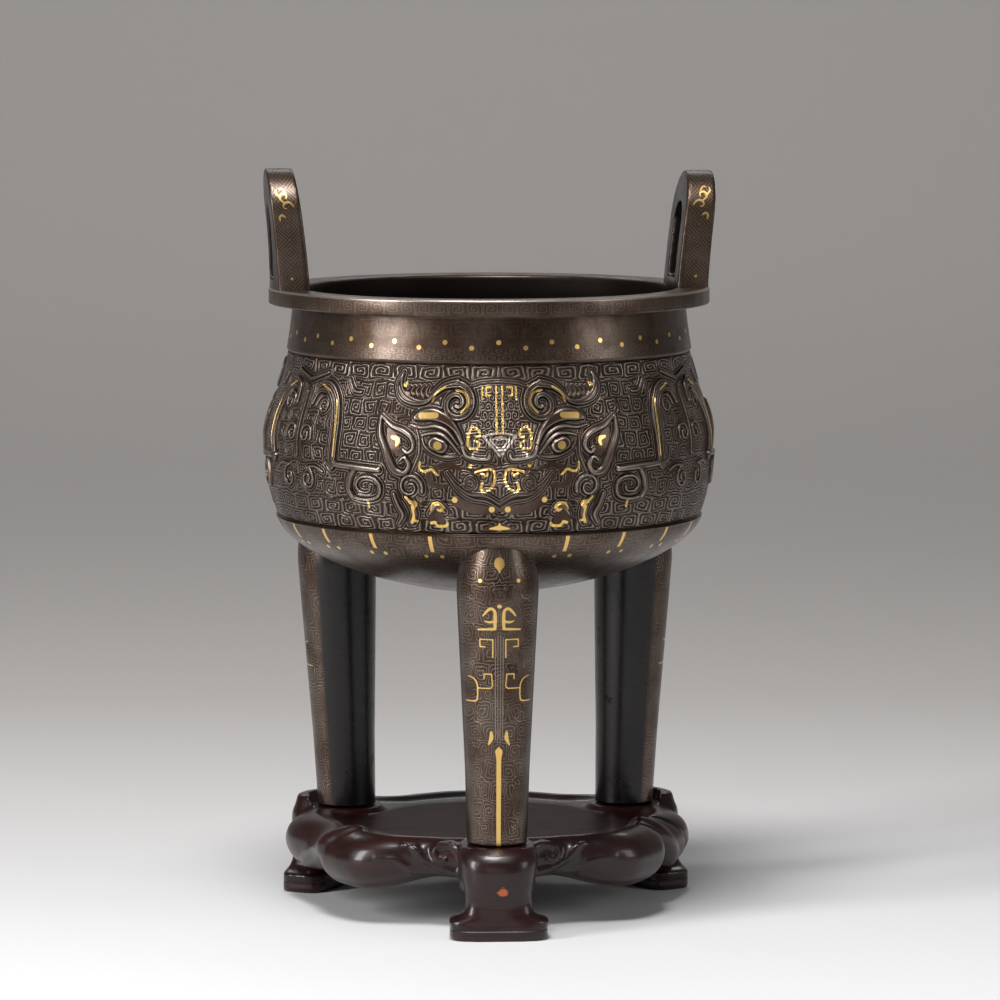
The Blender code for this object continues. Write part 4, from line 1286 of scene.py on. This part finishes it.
    def bars(self, graph: Graph, u: object, v: object) -> bpy.types.Node:
        """Returns the gold bars and pairs of dots on the bowl's bottom.

        Args:
            graph: the material's tree.
            u: place across, in millimetres.
            v: place up, in millimetres.

        Returns:
            1 on the gold.
        """
        found = None
        for middle, level in ((23.0, 121.2), (44.5, 121.6), (65.8, 122.0)):
            off = graph.add("Math", graph.add("Math", u, middle, operation="SUBTRACT"),
                            operation="ABSOLUTE")
            bar = graph.add("Math", self.below(graph, off, 0.66, 0.06), self.above(graph, v, level),
                            operation="MULTIPLY")
            bar = graph.add("Math", bar, self.below(graph, v, 126.5, 0.06), operation="MULTIPLY")
            aside = graph.add("Math", off, 2.9, operation="SUBTRACT")
            fall = graph.add("Math", graph.add("Math", v, level - 1.6, operation="SUBTRACT"), 1.3,
                             operation="MULTIPLY")
            gap = graph.add("Math", graph.add("Math", aside, aside, operation="MULTIPLY"),
                            graph.add("Math", fall, fall, operation="MULTIPLY"), operation="ADD")
            dot = self.below(graph, graph.add("Math", gap, operation="SQRT"), 0.74, 0.06)
            both = graph.add("Math", bar, dot, operation="MAXIMUM")
            found = both if found is None else graph.add("Math", found, both, operation="MAXIMUM")
        return found

    def leg(self) -> bpy.types.Material:
        """Returns the finish of the legs, which are decorated on their outward half."""
        graph = Graph("inlaid_bronze_leg")
        u, v = self.attribute(graph, "across"), self.attribute(graph, "up")
        place = graph.add("TexCoord").outputs["Object"]
        lines = self.spirals(graph, self.waver(graph, u, place, 5.0),
                             self.waver(graph, v, place, -4.0), 5.4, 6.2, 0.98)
        wire = graph.add("MapRange", {0: lines, 1: 0.86, 2: 1.0, 3: 0.0, 4: 0.5})
        faded = graph.add("TexNoise", {"Vector": place, "Scale": 95.0,
                                       "Detail": 3.0}).outputs["Fac"]
        faded = graph.add("MapRange", {0: faded, 1: 0.36, 2: 0.6, 3: 0.12, 4: 1.0})
        wire = graph.add("Math", wire, faded, operation="MULTIPLY")
        outward = self.below(graph, u, 16.5, 1.2)
        wire = graph.add("Math", wire, outward, operation="MULTIPLY")
        drawn = self.below(graph, self.attribute(graph, "silver"), 0.0, 0.06)
        silver = graph.add("Math", wire, graph.add("Math", drawn, 0.7, operation="MULTIPLY"),
                           operation="MAXIMUM")
        gold = self.below(graph, self.attribute(graph, "gold"), 0.0, 0.05)
        plain = graph.add("Math", 1.0, outward, operation="SUBTRACT")
        # A few dark stains of old wax and soot, about 5 mm across
        stains = graph.add("TexNoise", {"Vector": place, "Scale": 120.0, "Detail": 5.0,
                                        "Roughness": 0.7}).outputs["Fac"]
        stains = graph.add("MapRange", {0: stains, 1: 0.62, 2: 0.68, 3: 0.0, 4: 0.75})
        return self.finish(graph, 0.0, stains, gold, silver, 0.0, plain)

    def handle(self) -> bpy.types.Material:
        """Returns the finish of the handles, with a fret on their narrow faces."""
        graph = Graph("inlaid_bronze_handle")
        u, v = self.attribute(graph, "across"), self.attribute(graph, "up")
        # Fine slanting lines 0.85 mm apart, which turn every 4 mm
        row = graph.add("Math", graph.add("Math", v, 1.0 / 4.0, operation="MULTIPLY"),
                        operation="FLOOR")
        way = graph.add("Math", row, 2.0, operation="FLOORED_MODULO")
        way = graph.add("Math", way, 2.0, -1.0, operation="MULTIPLY_ADD")
        slant = graph.add("Math", graph.add("Math", u, operation="ABSOLUTE"), way,
                          operation="MULTIPLY")
        slant = graph.add("Math", slant, v, operation="ADD")
        lines = graph.add("Math", graph.add("Math", slant, FULL_TURN / 0.85 / 1.414,
                                            operation="MULTIPLY"), operation="SINE")
        wire = graph.add("MapRange", {0: lines, 1: 0.2, 2: 1.0, 3: 0.0, 4: 0.2})
        edge = self.below(graph, graph.add("Math", u, operation="ABSOLUTE"), 3.6, 0.1)
        wire = graph.add("Math", wire, edge, operation="MULTIPLY")
        outer = self.attribute(graph, "outer")
        silver = graph.add("Math", wire, outer, operation="MULTIPLY")
        gold = self.below(graph, self.attribute(graph, "gold"), -0.1, 0.08)
        gold = graph.add("Math", gold, graph.add("Math", outer, 0.85, operation="MULTIPLY"),
                         operation="MULTIPLY")
        broad = graph.add("Math", outer, -0.8, 0.8, operation="MULTIPLY_ADD")
        return self.finish(graph, 0.0, 0.0, gold, silver, 0.0, broad)


@dataclass
class Stand:
    """Carved stand: a plate in a swollen border, three cabriole feet and a seat for each leg.

    Sizes are in millimetres. The border's stations give the angle from the front, the outer radius
    and how full the section is there.
    """

    material: bpy.types.Material
    seat: float = 28.1
    seat_radius: float = 12.0
    leg_circle: float = 52.6
    plate_top: float = 26.2
    plate_radius: float = 40.5
    underside: float = 13.5
    crest: float = 28.4
    foot: float = 10.2
    narrow_foot: float = 15.6
    width: float = 8.5
    foot_radius: float = 70.8
    stations: tuple[Point, ...] = ((0.0, 50.0, 0.3), (24.0, 50.0, 0.0), (52.0, 60.3, 1.0),
                                   (64.0, 60.3, 1.0), (76.0, 57.6, 0.7), (102.0, 66.9, 1.0),
                                   (129.0, 67.2, 1.0), (150.0, 57.0, 0.7), (180.0, 60.3, 1.0))
    pieces: int = 12
    steps: int = 400
    voxel: float = 0.72
    rounds: int = 4
    apart: float = 113.04
    arc_per_degree: float = 0.942
    side_tall: float = 24.0
    front_hood: float = 0.6
    rear_hood: float = 3.2
    tool_mark: float = 0.16
    seat_clear: float = 0.4

    def border(self, angle: float) -> tuple[float, float]:
        """Gives the border's outer radius and fullness.

        Args:
            angle: degrees from the front.

        Returns:
            The radius in millimetres and the fullness from 0 to 1.
        """
        away = abs((angle + 180.0) % 360.0 - 180.0)
        for low, high in zip(self.stations, self.stations[1:]):
            if away <= high[0]:
                share = (away - low[0]) / (high[0] - low[0])
                share = share * share * (3.0 - 2.0 * share)
                return low[1] + (high[1] - low[1]) * share, low[2] + (high[2] - low[2]) * share
        return self.stations[-1][1], self.stations[-1][2]

    def section(self, angle: float) -> np.ndarray:
        """Returns the section of plate and border at an angle, as (radius, height, 0) points.

        Args:
            angle: degrees from the front.

        Returns:
            Rows of (radius, height, 0) in millimetres.
        """
        widest, full = self.border(angle)
        foot = self.narrow_foot + (self.foot - self.narrow_foot) * full
        crest = widest - (0.55 + 0.45 * full) * self.width
        drop = foot - self.crest
        lip = self.plate_radius + 0.55 * (crest - self.plate_radius)
        low = self.plate_radius - 4.5
        return smooth_path((
            (0.0, self.plate_top - 0.4, 0.0), (22.0, self.plate_top - 0.3, 0.0),
            (self.plate_radius, self.plate_top, 0.0), (lip, self.plate_top + 0.5, 0.0),
            (crest - 0.6, self.crest, 0.0),
            (crest + 0.74 * (widest - crest), self.crest + 0.18 * drop, 0.0),
            (widest, self.crest + 0.52 * drop, 0.0),
            (crest + 0.62 * (widest - crest), self.crest + 0.86 * drop, 0.0),
            (crest - 1.5, foot, 0.0), (low, foot + 0.6 * (self.underside - foot), 0.0),
            (16.0, self.underside, 0.0), (0.0, self.underside, 0.0)), self.pieces)

    def carving(self) -> Drawing:
        """Draws the creases and tendrils on the border's outer side.

        Returns:
            A drawing whose places are the arc from the front and the way up the side.
        """
        drawing = Drawing((-172.0, -4.0), (172.0, 34.0))
        rounded, cut = Work.ROUNDED, Work.CUT
        for foot, hand in ((0.0, -1.0), (0.0, 1.0), (-self.apart, -1.0), (self.apart, 1.0)):
            for work, height, shoulder, points in (
                (rounded, 1.5, 1.3, ((11.0, 15.0, 1.8), (16.0, 18.6, 1.6), (21.4, 16.6, 1.4),
                                     (20.4, 12.4, 1.2), (17.0, 13.0, 0.8))),
                (rounded, 1.4, 1.2, ((11.0, 8.0, 1.5), (18.0, 8.4, 1.5), (24.6, 12.0, 1.4),
                                     (28.6, 17.0, 1.2), (33.0, 18.6, 0.6))),
                (rounded, 1.1, 1.1, ((23.0, 6.0, 0.9), (28.6, 8.2, 1.2), (33.4, 12.6, 1.0),
                                     (39.0, 14.0, 0.5))),
                (cut, 1.6, 0.8, ((13.0, 11.4, 0.4), (19.0, 10.4, 0.5), (24.6, 15.6, 0.4),
                                 (26.4, 20.6, 0.3))),
                (cut, 1.3, 0.8, ((24.0, 9.0, 0.3), (29.6, 13.6, 0.4), (36.0, 16.6, 0.2))),
                (cut, 1.1, 0.8, ((12.0, 21.6, 0.3), (18.0, 21.6, 0.4), (23.6, 19.2, 0.3)))):
                drawing.draw(Stroke(work, tuple((foot + hand * u, v, width)
                                                for u, v, width in points), height,
                                    shoulder=shoulder))
        drawing.draw(Stroke(rounded, ((-54.0, 27.0, 2.4), (-60.5, 19.0, 3.4), (-70.0, 13.0, 3.6),
                                      (-84.0, 6.0, 2.4)), 1.7, shoulder=3.4))
        drawing.draw(Stroke(cut, ((-47.0, 29.0, 1.0), (-52.0, 22.0, 1.3), (-59.0, 14.0, 1.4),
                                  (-68.0, 7.4, 1.3), (-80.0, 1.0, 1.0)), 2.4, shoulder=2.0))
        drawing.draw(Stroke(rounded, ((70.0, 28.0, 2.0), (74.0, 16.0, 3.0), (86.0, 4.0, 2.2)), 1.5,
                            shoulder=3.0))
        drawing.draw(Stroke(cut, ((63.0, 29.0, 1.0), (67.0, 18.0, 1.3), (77.0, 6.0, 1.3),
                                  (86.0, -1.0, 1.0)), 2.2, shoulder=1.9))
        drawing.draw(Stroke(cut, ((79.0, 29.0, 0.7), (82.0, 19.0, 0.9), (92.0, 8.0, 0.8)), 1.4,
                            shoulder=1.4))
        return drawing

    def border_shape(self) -> bmesh.types.BMesh:
        """Builds the plate and its border: an upright line, spun and moved to its sections.

        Returns:
            The shape.
        """
        count = len(self.section(0.0))
        shape = spun([(50.0, float(index)) for index in range(count)], 0.0, FULL_TURN,
                     self.steps, False)
        carving = self.carving()
        sections = {}
        side_from, side_to = 4 * self.pieces, 8 * self.pieces
        for vert in shape.verts:
            index = round(vert.co.z / MM)
            turn = math.atan2(vert.co.x, -vert.co.y)
            angle = round(math.degrees(turn), 3)
            if angle not in sections:
                sections[angle] = self.section(angle)
            section = sections[angle]
            radius, height = section[index][:2]
            if side_from - 12 < index < side_to:
                before, after = section[index - 1][:2], section[index + 1][:2]
                run = after - before
                out = np.array((-run[1], run[0])) / max(1e-6, float(np.hypot(*run)))
                way = self.side_tall * (side_to - index) / (side_to - side_from)
                rise = float(carving.sample(carving.relief, np.array([angle * self.arc_per_degree]),
                                            np.array([way]))[0])
                radius, height = np.array((radius, height)) + out * rise
            vert.co = Vector((radius * math.sin(turn), -radius * math.cos(turn), height)) * MM
        bmesh.ops.remove_doubles(shape, verts=shape.verts, dist=1e-6)
        bmesh.ops.recalc_face_normals(shape, faces=shape.faces)
        return shape

    def foot_shape(self, angle: float, hood: float) -> bmesh.types.BMesh:
        """Builds one foot: a hooded shoulder, a slim ankle, side hooks and a base.

        Args:
            angle: where it stands, in radians from +X.
            hood: how far its top stands above the seat.

        Returns:
            The foot.
        """
        top = self.seat + hood
        domed = 1.0 if hood < 1.0 else 0.3
        levels = smooth_path(((14.6, 15.0, 0.0), (15.3, 15.8, 0.7), (15.2, 15.6, 2.8),
                              (15.3, 15.2, 4.6), (15.7, 14.8, 6.0), (12.6, 13.0, 7.2),
                              (10.8, 12.2, 8.8), (10.4, 13.4, 12.4), (10.8, 15.6, 16.0),
                              (11.7, 18.8, 20.4), (12.4, 19.6, 23.8), (12.2, 18.6, 26.2),
                              (11.2, 16.2, self.seat), (9.0, 12.0, top)), 4)
        profile = [(0.0, 0.0)] + [(10.0, float(index)) for index in range(len(levels))]
        profile.append((0.0, float(len(levels) - 1)))
        shape = spun(profile, 0.0, FULL_TURN, 64, False)
        for vert in shape.verts:
            level = levels[round(vert.co.z / MM)]
            turn = math.atan2(vert.co.y, vert.co.x)
            share = min(1.0, math.hypot(vert.co.x, vert.co.y) / (10.0 * MM))
            rise = level[2]
            inset = 1.2 * math.exp(-((rise - 11.0) / 4.5) ** 2)
            inset += domed * float(np.interp(rise, (22.0, 24.5, 26.5, self.seat, top),
                                             (0.0, 0.7, 2.2, 4.8, 6.4)))
            power = float(np.interp(rise, (6.0, 12.0, 21.0), (0.52, 0.7, 0.88)))
            along = math.copysign(abs(math.cos(turn)) ** power, math.cos(turn)) * level[1] / 2
            across = math.copysign(abs(math.sin(turn)) ** power, math.sin(turn)) * level[0]
            radius = self.foot_radius - inset - level[1] / 2 + along * share
            # Arms flow from the shoulder to the border on both sides
            inward = min(1.0, max(0.0, (62.0 - radius) / 11.0))
            across *= 1.0 + 0.7 * inward ** 2 * math.exp(-((rise - 18.5) / 4.5) ** 2)
            vert.co = Vector((radius, across * share, rise)) * MM
        bmesh.ops.recalc_face_normals(shape, faces=shape.faces)
        bmesh.ops.rotate(shape, verts=shape.verts, matrix=Matrix.Rotation(angle, 3, "Z"))
        return shape

    def seat_shape(self, angle: float) -> bmesh.types.BMesh:
        """Builds the round seat under one leg.

        Args:
            angle: where it stands, in radians from +X.

        Returns:
            The seat.
        """
        edge = self.seat_radius
        shape = spun([(0.0, self.underside), (edge, self.underside), (edge, self.seat - 0.5),
                      (edge - 0.5, self.seat), (0.0, self.seat)], 0.0, FULL_TURN, 64, False)
        bmesh.ops.translate(shape, verts=shape.verts, vec=(self.leg_circle * MM, 0.0, 0.0))
        bmesh.ops.rotate(shape, verts=shape.verts, matrix=Matrix.Rotation(angle, 3, "Z"))
        return shape

    def build(self) -> bpy.types.Object:
        """Builds the stand: its parts grown together, eased and sunk where the legs stand.

        Returns:
            The stand's piece.
        """
        parts = [self.border_shape()]
        for index, angle in enumerate(LEG_ANGLES):
            parts.append(self.foot_shape(angle, self.rear_hood if index else self.front_hood))
            parts.append(self.seat_shape(angle))
        whole = bmesh.new()
        for part in parts:
            mesh = bpy.data.meshes.new("stand_part")
            part.to_mesh(mesh)
            part.free()
            whole.from_mesh(mesh)
            bpy.data.meshes.remove(mesh)
        shape = grown(whole, self.voxel, self.rounds)
        for vert in shape.verts:
            gap = min(math.hypot(vert.co.x / MM - self.leg_circle * math.cos(angle),
                                 vert.co.y / MM - self.leg_circle * math.sin(angle))
                      for angle in LEG_ANGLES)
            if gap < self.seat_radius + self.seat_clear and vert.co.z > self.seat * MM:
                vert.co.z = self.seat * MM
            elif vert.co.z > 1.0 * MM:
                vert.co += vert.normal * self.tool_mark * MM * noise.noise(vert.co * 110.0)
        return finish_piece(shape, "stand_carving", self.material)


@dataclass(frozen=True)
class PolishedHardwood:
    """Dense red-brown hardwood, carved, waxed and rubbed to a deep gloss."""

    heart: str = "#2a0e0a"
    dark: str = "#100606"
    knot: str = "#b5592a"
    roughness: float = 0.32

    def material(self) -> bpy.types.Material:
        """Returns the finish, with grain lines about 1 mm apart along X."""
        graph = Graph("polished_hardwood")
        place = graph.add("TexCoord").outputs["Object"]
        along = graph.add("Mapping", {"Vector": place, "Scale": (0.12, 1.0, 1.6)})
        grain = graph.add("TexNoise", {"Vector": along, "Scale": 900.0, "Detail": 5.0,
                                       "Roughness": 0.6}).outputs["Fac"]
        broad = graph.add("TexNoise", {"Vector": along, "Scale": 160.0,
                                       "Detail": 3.0}).outputs["Fac"]
        both = graph.add("Mix", {0: 0.5, 2: grain, 3: broad}, data_type="FLOAT")
        share = graph.add("MapRange", {0: both, 1: 0.38, 2: 0.62, 3: 0.0, 4: 1.0})
        base = graph.add("Mix", {0: share, 6: linear(self.dark), 7: linear(self.heart)},
                         data_type="RGBA")
        # A knot 4 mm across on the front foot, with a dark ring round it
        off = graph.add("VectorMath", place, (1.0 * MM, -70.0 * MM, 15.7 * MM),
                        operation="SUBTRACT")
        away = graph.add("Math", graph.add("VectorMath", off, operation="LENGTH").outputs["Value"],
                         1.0 / MM, operation="MULTIPLY")
        ragged = graph.add("Math", grain, 2.4, away, operation="MULTIPLY_ADD")
        ring = graph.add("MapRange", {0: ragged, 1: 4.1, 2: 3.3, 3: 0.0, 4: 0.8})
        core = graph.add("MapRange", {0: ragged, 1: 3.0, 2: 2.3, 3: 0.0, 4: 0.85})
        base = graph.add("Mix", {0: ring, 6: base, 7: linear(self.dark)}, data_type="RGBA")
        base = graph.add("Mix", {0: core, 6: base, 7: linear(self.knot)}, data_type="RGBA")
        # The turned line round each foot's base, 0.6 mm wide
        rise = graph.add("Math", graph.add("SeparateXYZ", place).outputs[2], 1.0 / MM,
                         operation="MULTIPLY")
        line = graph.add("Math", graph.add("Math", rise, 3.4, operation="SUBTRACT"),
                         operation="ABSOLUTE")
        line = graph.add("MapRange", {0: line, 1: 0.1, 2: 0.45, 3: -0.5, 4: 0.0})
        relief = graph.add("Math", grain, 0.05, line, operation="MULTIPLY_ADD")
        bump = graph.add("Bump", {"Height": relief, "Distance": MM, "Strength": 0.8})
        # The plate between the legs is hardly polished, out to 41 mm
        flat = graph.add("VectorMath", place, (1.0, 1.0, 0.0), operation="MULTIPLY")
        reach = graph.add("VectorMath", flat, operation="LENGTH").outputs["Value"]
        plate = graph.add("MapRange", {0: reach, 1: 39.0 * MM, 2: 43.5 * MM, 3: 0.0, 4: 1.0})
        rough = graph.add("MapRange", {0: plate, 3: 0.46, 4: self.roughness})
        gloss = graph.add("Math", plate, 0.26, 0.08, operation="MULTIPLY_ADD")
        coat = graph.add("Math", plate, 0.25, 0.01, operation="MULTIPLY_ADD")
        shader = graph.add("BsdfPrincipled", {"Base Color": base, "Roughness": rough,
                                              "Specular IOR Level": gloss, "Coat Weight": coat,
                                              "Coat Roughness": 0.1, "Normal": bump})
        graph.add("OutputMaterial", {"Surface": shader})
        return graph.material


@dataclass
class Studio:
    """Camera, lights, floor and backdrop.

    The camera is in metres and the floor in millimetres. The horizon's place above the middle
    and the focal length, which give the camera's pitch, are in pixels of the photograph.
    """

    horizon_pixels: float = 556.0
    focal_pixels: float = 5300.0
    lens: float = 190.8
    sensor: float = 36.0
    turn: float = math.radians(2.8)
    away: float = 1.696
    camera_height: float = 0.3088
    aside: float = 0.0035
    floor_radius: float = 2300.0
    sweep_radius: float = 800.0
    wall_top: float = 2600.0

    def camera(self) -> None:
        """Makes the camera at the photograph's angle."""
        data = bpy.data.cameras.new("camera")
        data.lens = self.lens
        data.sensor_width = self.sensor
        data.clip_end = 10.0
        item = bpy.data.objects.new("camera", data)
        bpy.context.scene.collection.objects.link(item)
        item.location = (-self.away * math.sin(self.turn) + self.aside * math.cos(self.turn),
                         -self.away * math.cos(self.turn) - self.aside * math.sin(self.turn),
                         self.camera_height)
        pitch = math.atan(self.horizon_pixels / self.focal_pixels)
        item.rotation_euler = (math.pi / 2 - pitch, 0.0, -self.turn)
        bpy.context.scene.camera = item

    def floor(self) -> None:
        """Makes a pale round floor that sweeps up to a wall, well behind the camera."""
        profile = [(0.0, 0.0), (600.0, 0.0), (self.floor_radius, 0.0)]
        for step in range(1, 17):
            turn = math.pi / 2 * step / 16
            profile.append((self.floor_radius + self.sweep_radius * math.sin(turn),
                            self.sweep_radius - self.sweep_radius * math.cos(turn)))
        profile.append((self.floor_radius + self.sweep_radius, self.wall_top))
        shape = spun(profile, 0.0, FULL_TURN, 96, False)
        for face in shape.faces:
            face.smooth = True
        mesh = bpy.data.meshes.new("floor")
        shape.to_mesh(mesh)
        shape.free()
        # Matt backdrop, coloured from near white in front to grey behind: painted shade for the light
        # falling off towards the back
        graph = Graph("floor_paper")
        depth = graph.add("SeparateXYZ", graph.add("TexCoord").outputs["Object"]).outputs[1]
        share = graph.add("MapRange", {0: depth, 1: -0.15, 2: 0.47, 3: 0.0, 4: 1.0})
        painted_falloff = graph.add("Mix", {0: share, 6: linear("#dcdcdd"), 7: linear("#bdb9b6")},
                          data_type="RGBA")
        shader = graph.add("BsdfPrincipled", {"Base Color": painted_falloff, "Roughness": 0.9})
        graph.add("OutputMaterial", {"Surface": shader})
        mesh.materials.append(graph.material)
        item = bpy.data.objects.new("floor", mesh)
        bpy.context.scene.collection.objects.link(item)

    def light(self, name: str, power: float, size: tuple[float, float],
              place: tuple[float, float, float], aim: tuple[float, float, float]) -> None:
        """Adds one soft light.

        Args:
            name: its name.
            power: its power in watts.
            size: its width and height in metres.
            place: where it is.
            aim: the point that it faces.
        """
        data = bpy.data.lights.new(name, "AREA")
        data.energy = power
        data.shape = "RECTANGLE"
        data.size, data.size_y = size
        item = bpy.data.objects.new(name, data)
        item.location = place
        item.rotation_euler = (Vector(aim) - Vector(place)).to_track_quat("-Z", "Y").to_euler()
        bpy.context.scene.collection.objects.link(item)

    def build(self) -> None:
        """Builds the studio."""
        self.camera()
        self.floor()
        self.light("key", 13.0, (0.3, 0.8), (-1.05, -0.6, 0.55), (0.0, 0.0, 0.12))
        self.light("fill", 2.8, (0.4, 0.6), (1.1, -0.6, 0.5), (0.0, 0.0, 0.12))
        self.light("top", 11.0, (0.36, 0.36), (-0.1, -0.36, 1.1), (0.0, -0.08, 0.0))
        self.light("front", 1.6, (1.0, 0.7), (-0.25, -2.0, 0.45), (0.0, 0.0, 0.12))
        self.light("back", 12.0, (1.8, 0.6), (0.0, 2.25, 1.8), (0.0, 2.35, 0.0))
        world = bpy.data.worlds.new("studio")
        bpy.context.scene.world = world
        world.use_nodes = True
        world.node_tree.nodes["Background"].inputs["Color"].default_value = linear("#c8ccd2")
        world.node_tree.nodes["Background"].inputs["Strength"].default_value = 0.19
        bpy.context.scene.view_settings.view_transform = "Standard"


def main() -> None:
    """Builds every piece in order."""
    logging.basicConfig(level=logging.INFO, format="%(message)s")
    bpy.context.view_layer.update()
    Studio().build()
    sizes = BowlSizes()
    bronze = InlaidBronze()
    pieces = [Bowl(sizes, bronze.bowl()).build()]
    panel = MaskPanel(sizes, bronze.band())
    leg = Leg(sizes, bronze.leg())
    for angle, label in zip(LEG_ANGLES, ("front", "right", "left")):
        pieces.append(panel.build(angle, label))
        pieces.append(leg.build(angle, label))
    finish = bronze.handle()
    pieces.append(Handle(finish, rise=36.8).build(HANDLE_TURN, "right"))
    pieces.append(Handle(finish).build(HANDLE_TURN + math.pi, "left"))
    for piece in pieces:
        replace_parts(piece, "bronze_censer")
    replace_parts(Stand(PolishedHardwood().material()).build(), "hardwood_stand")


if __name__ == "__main__":
    main()
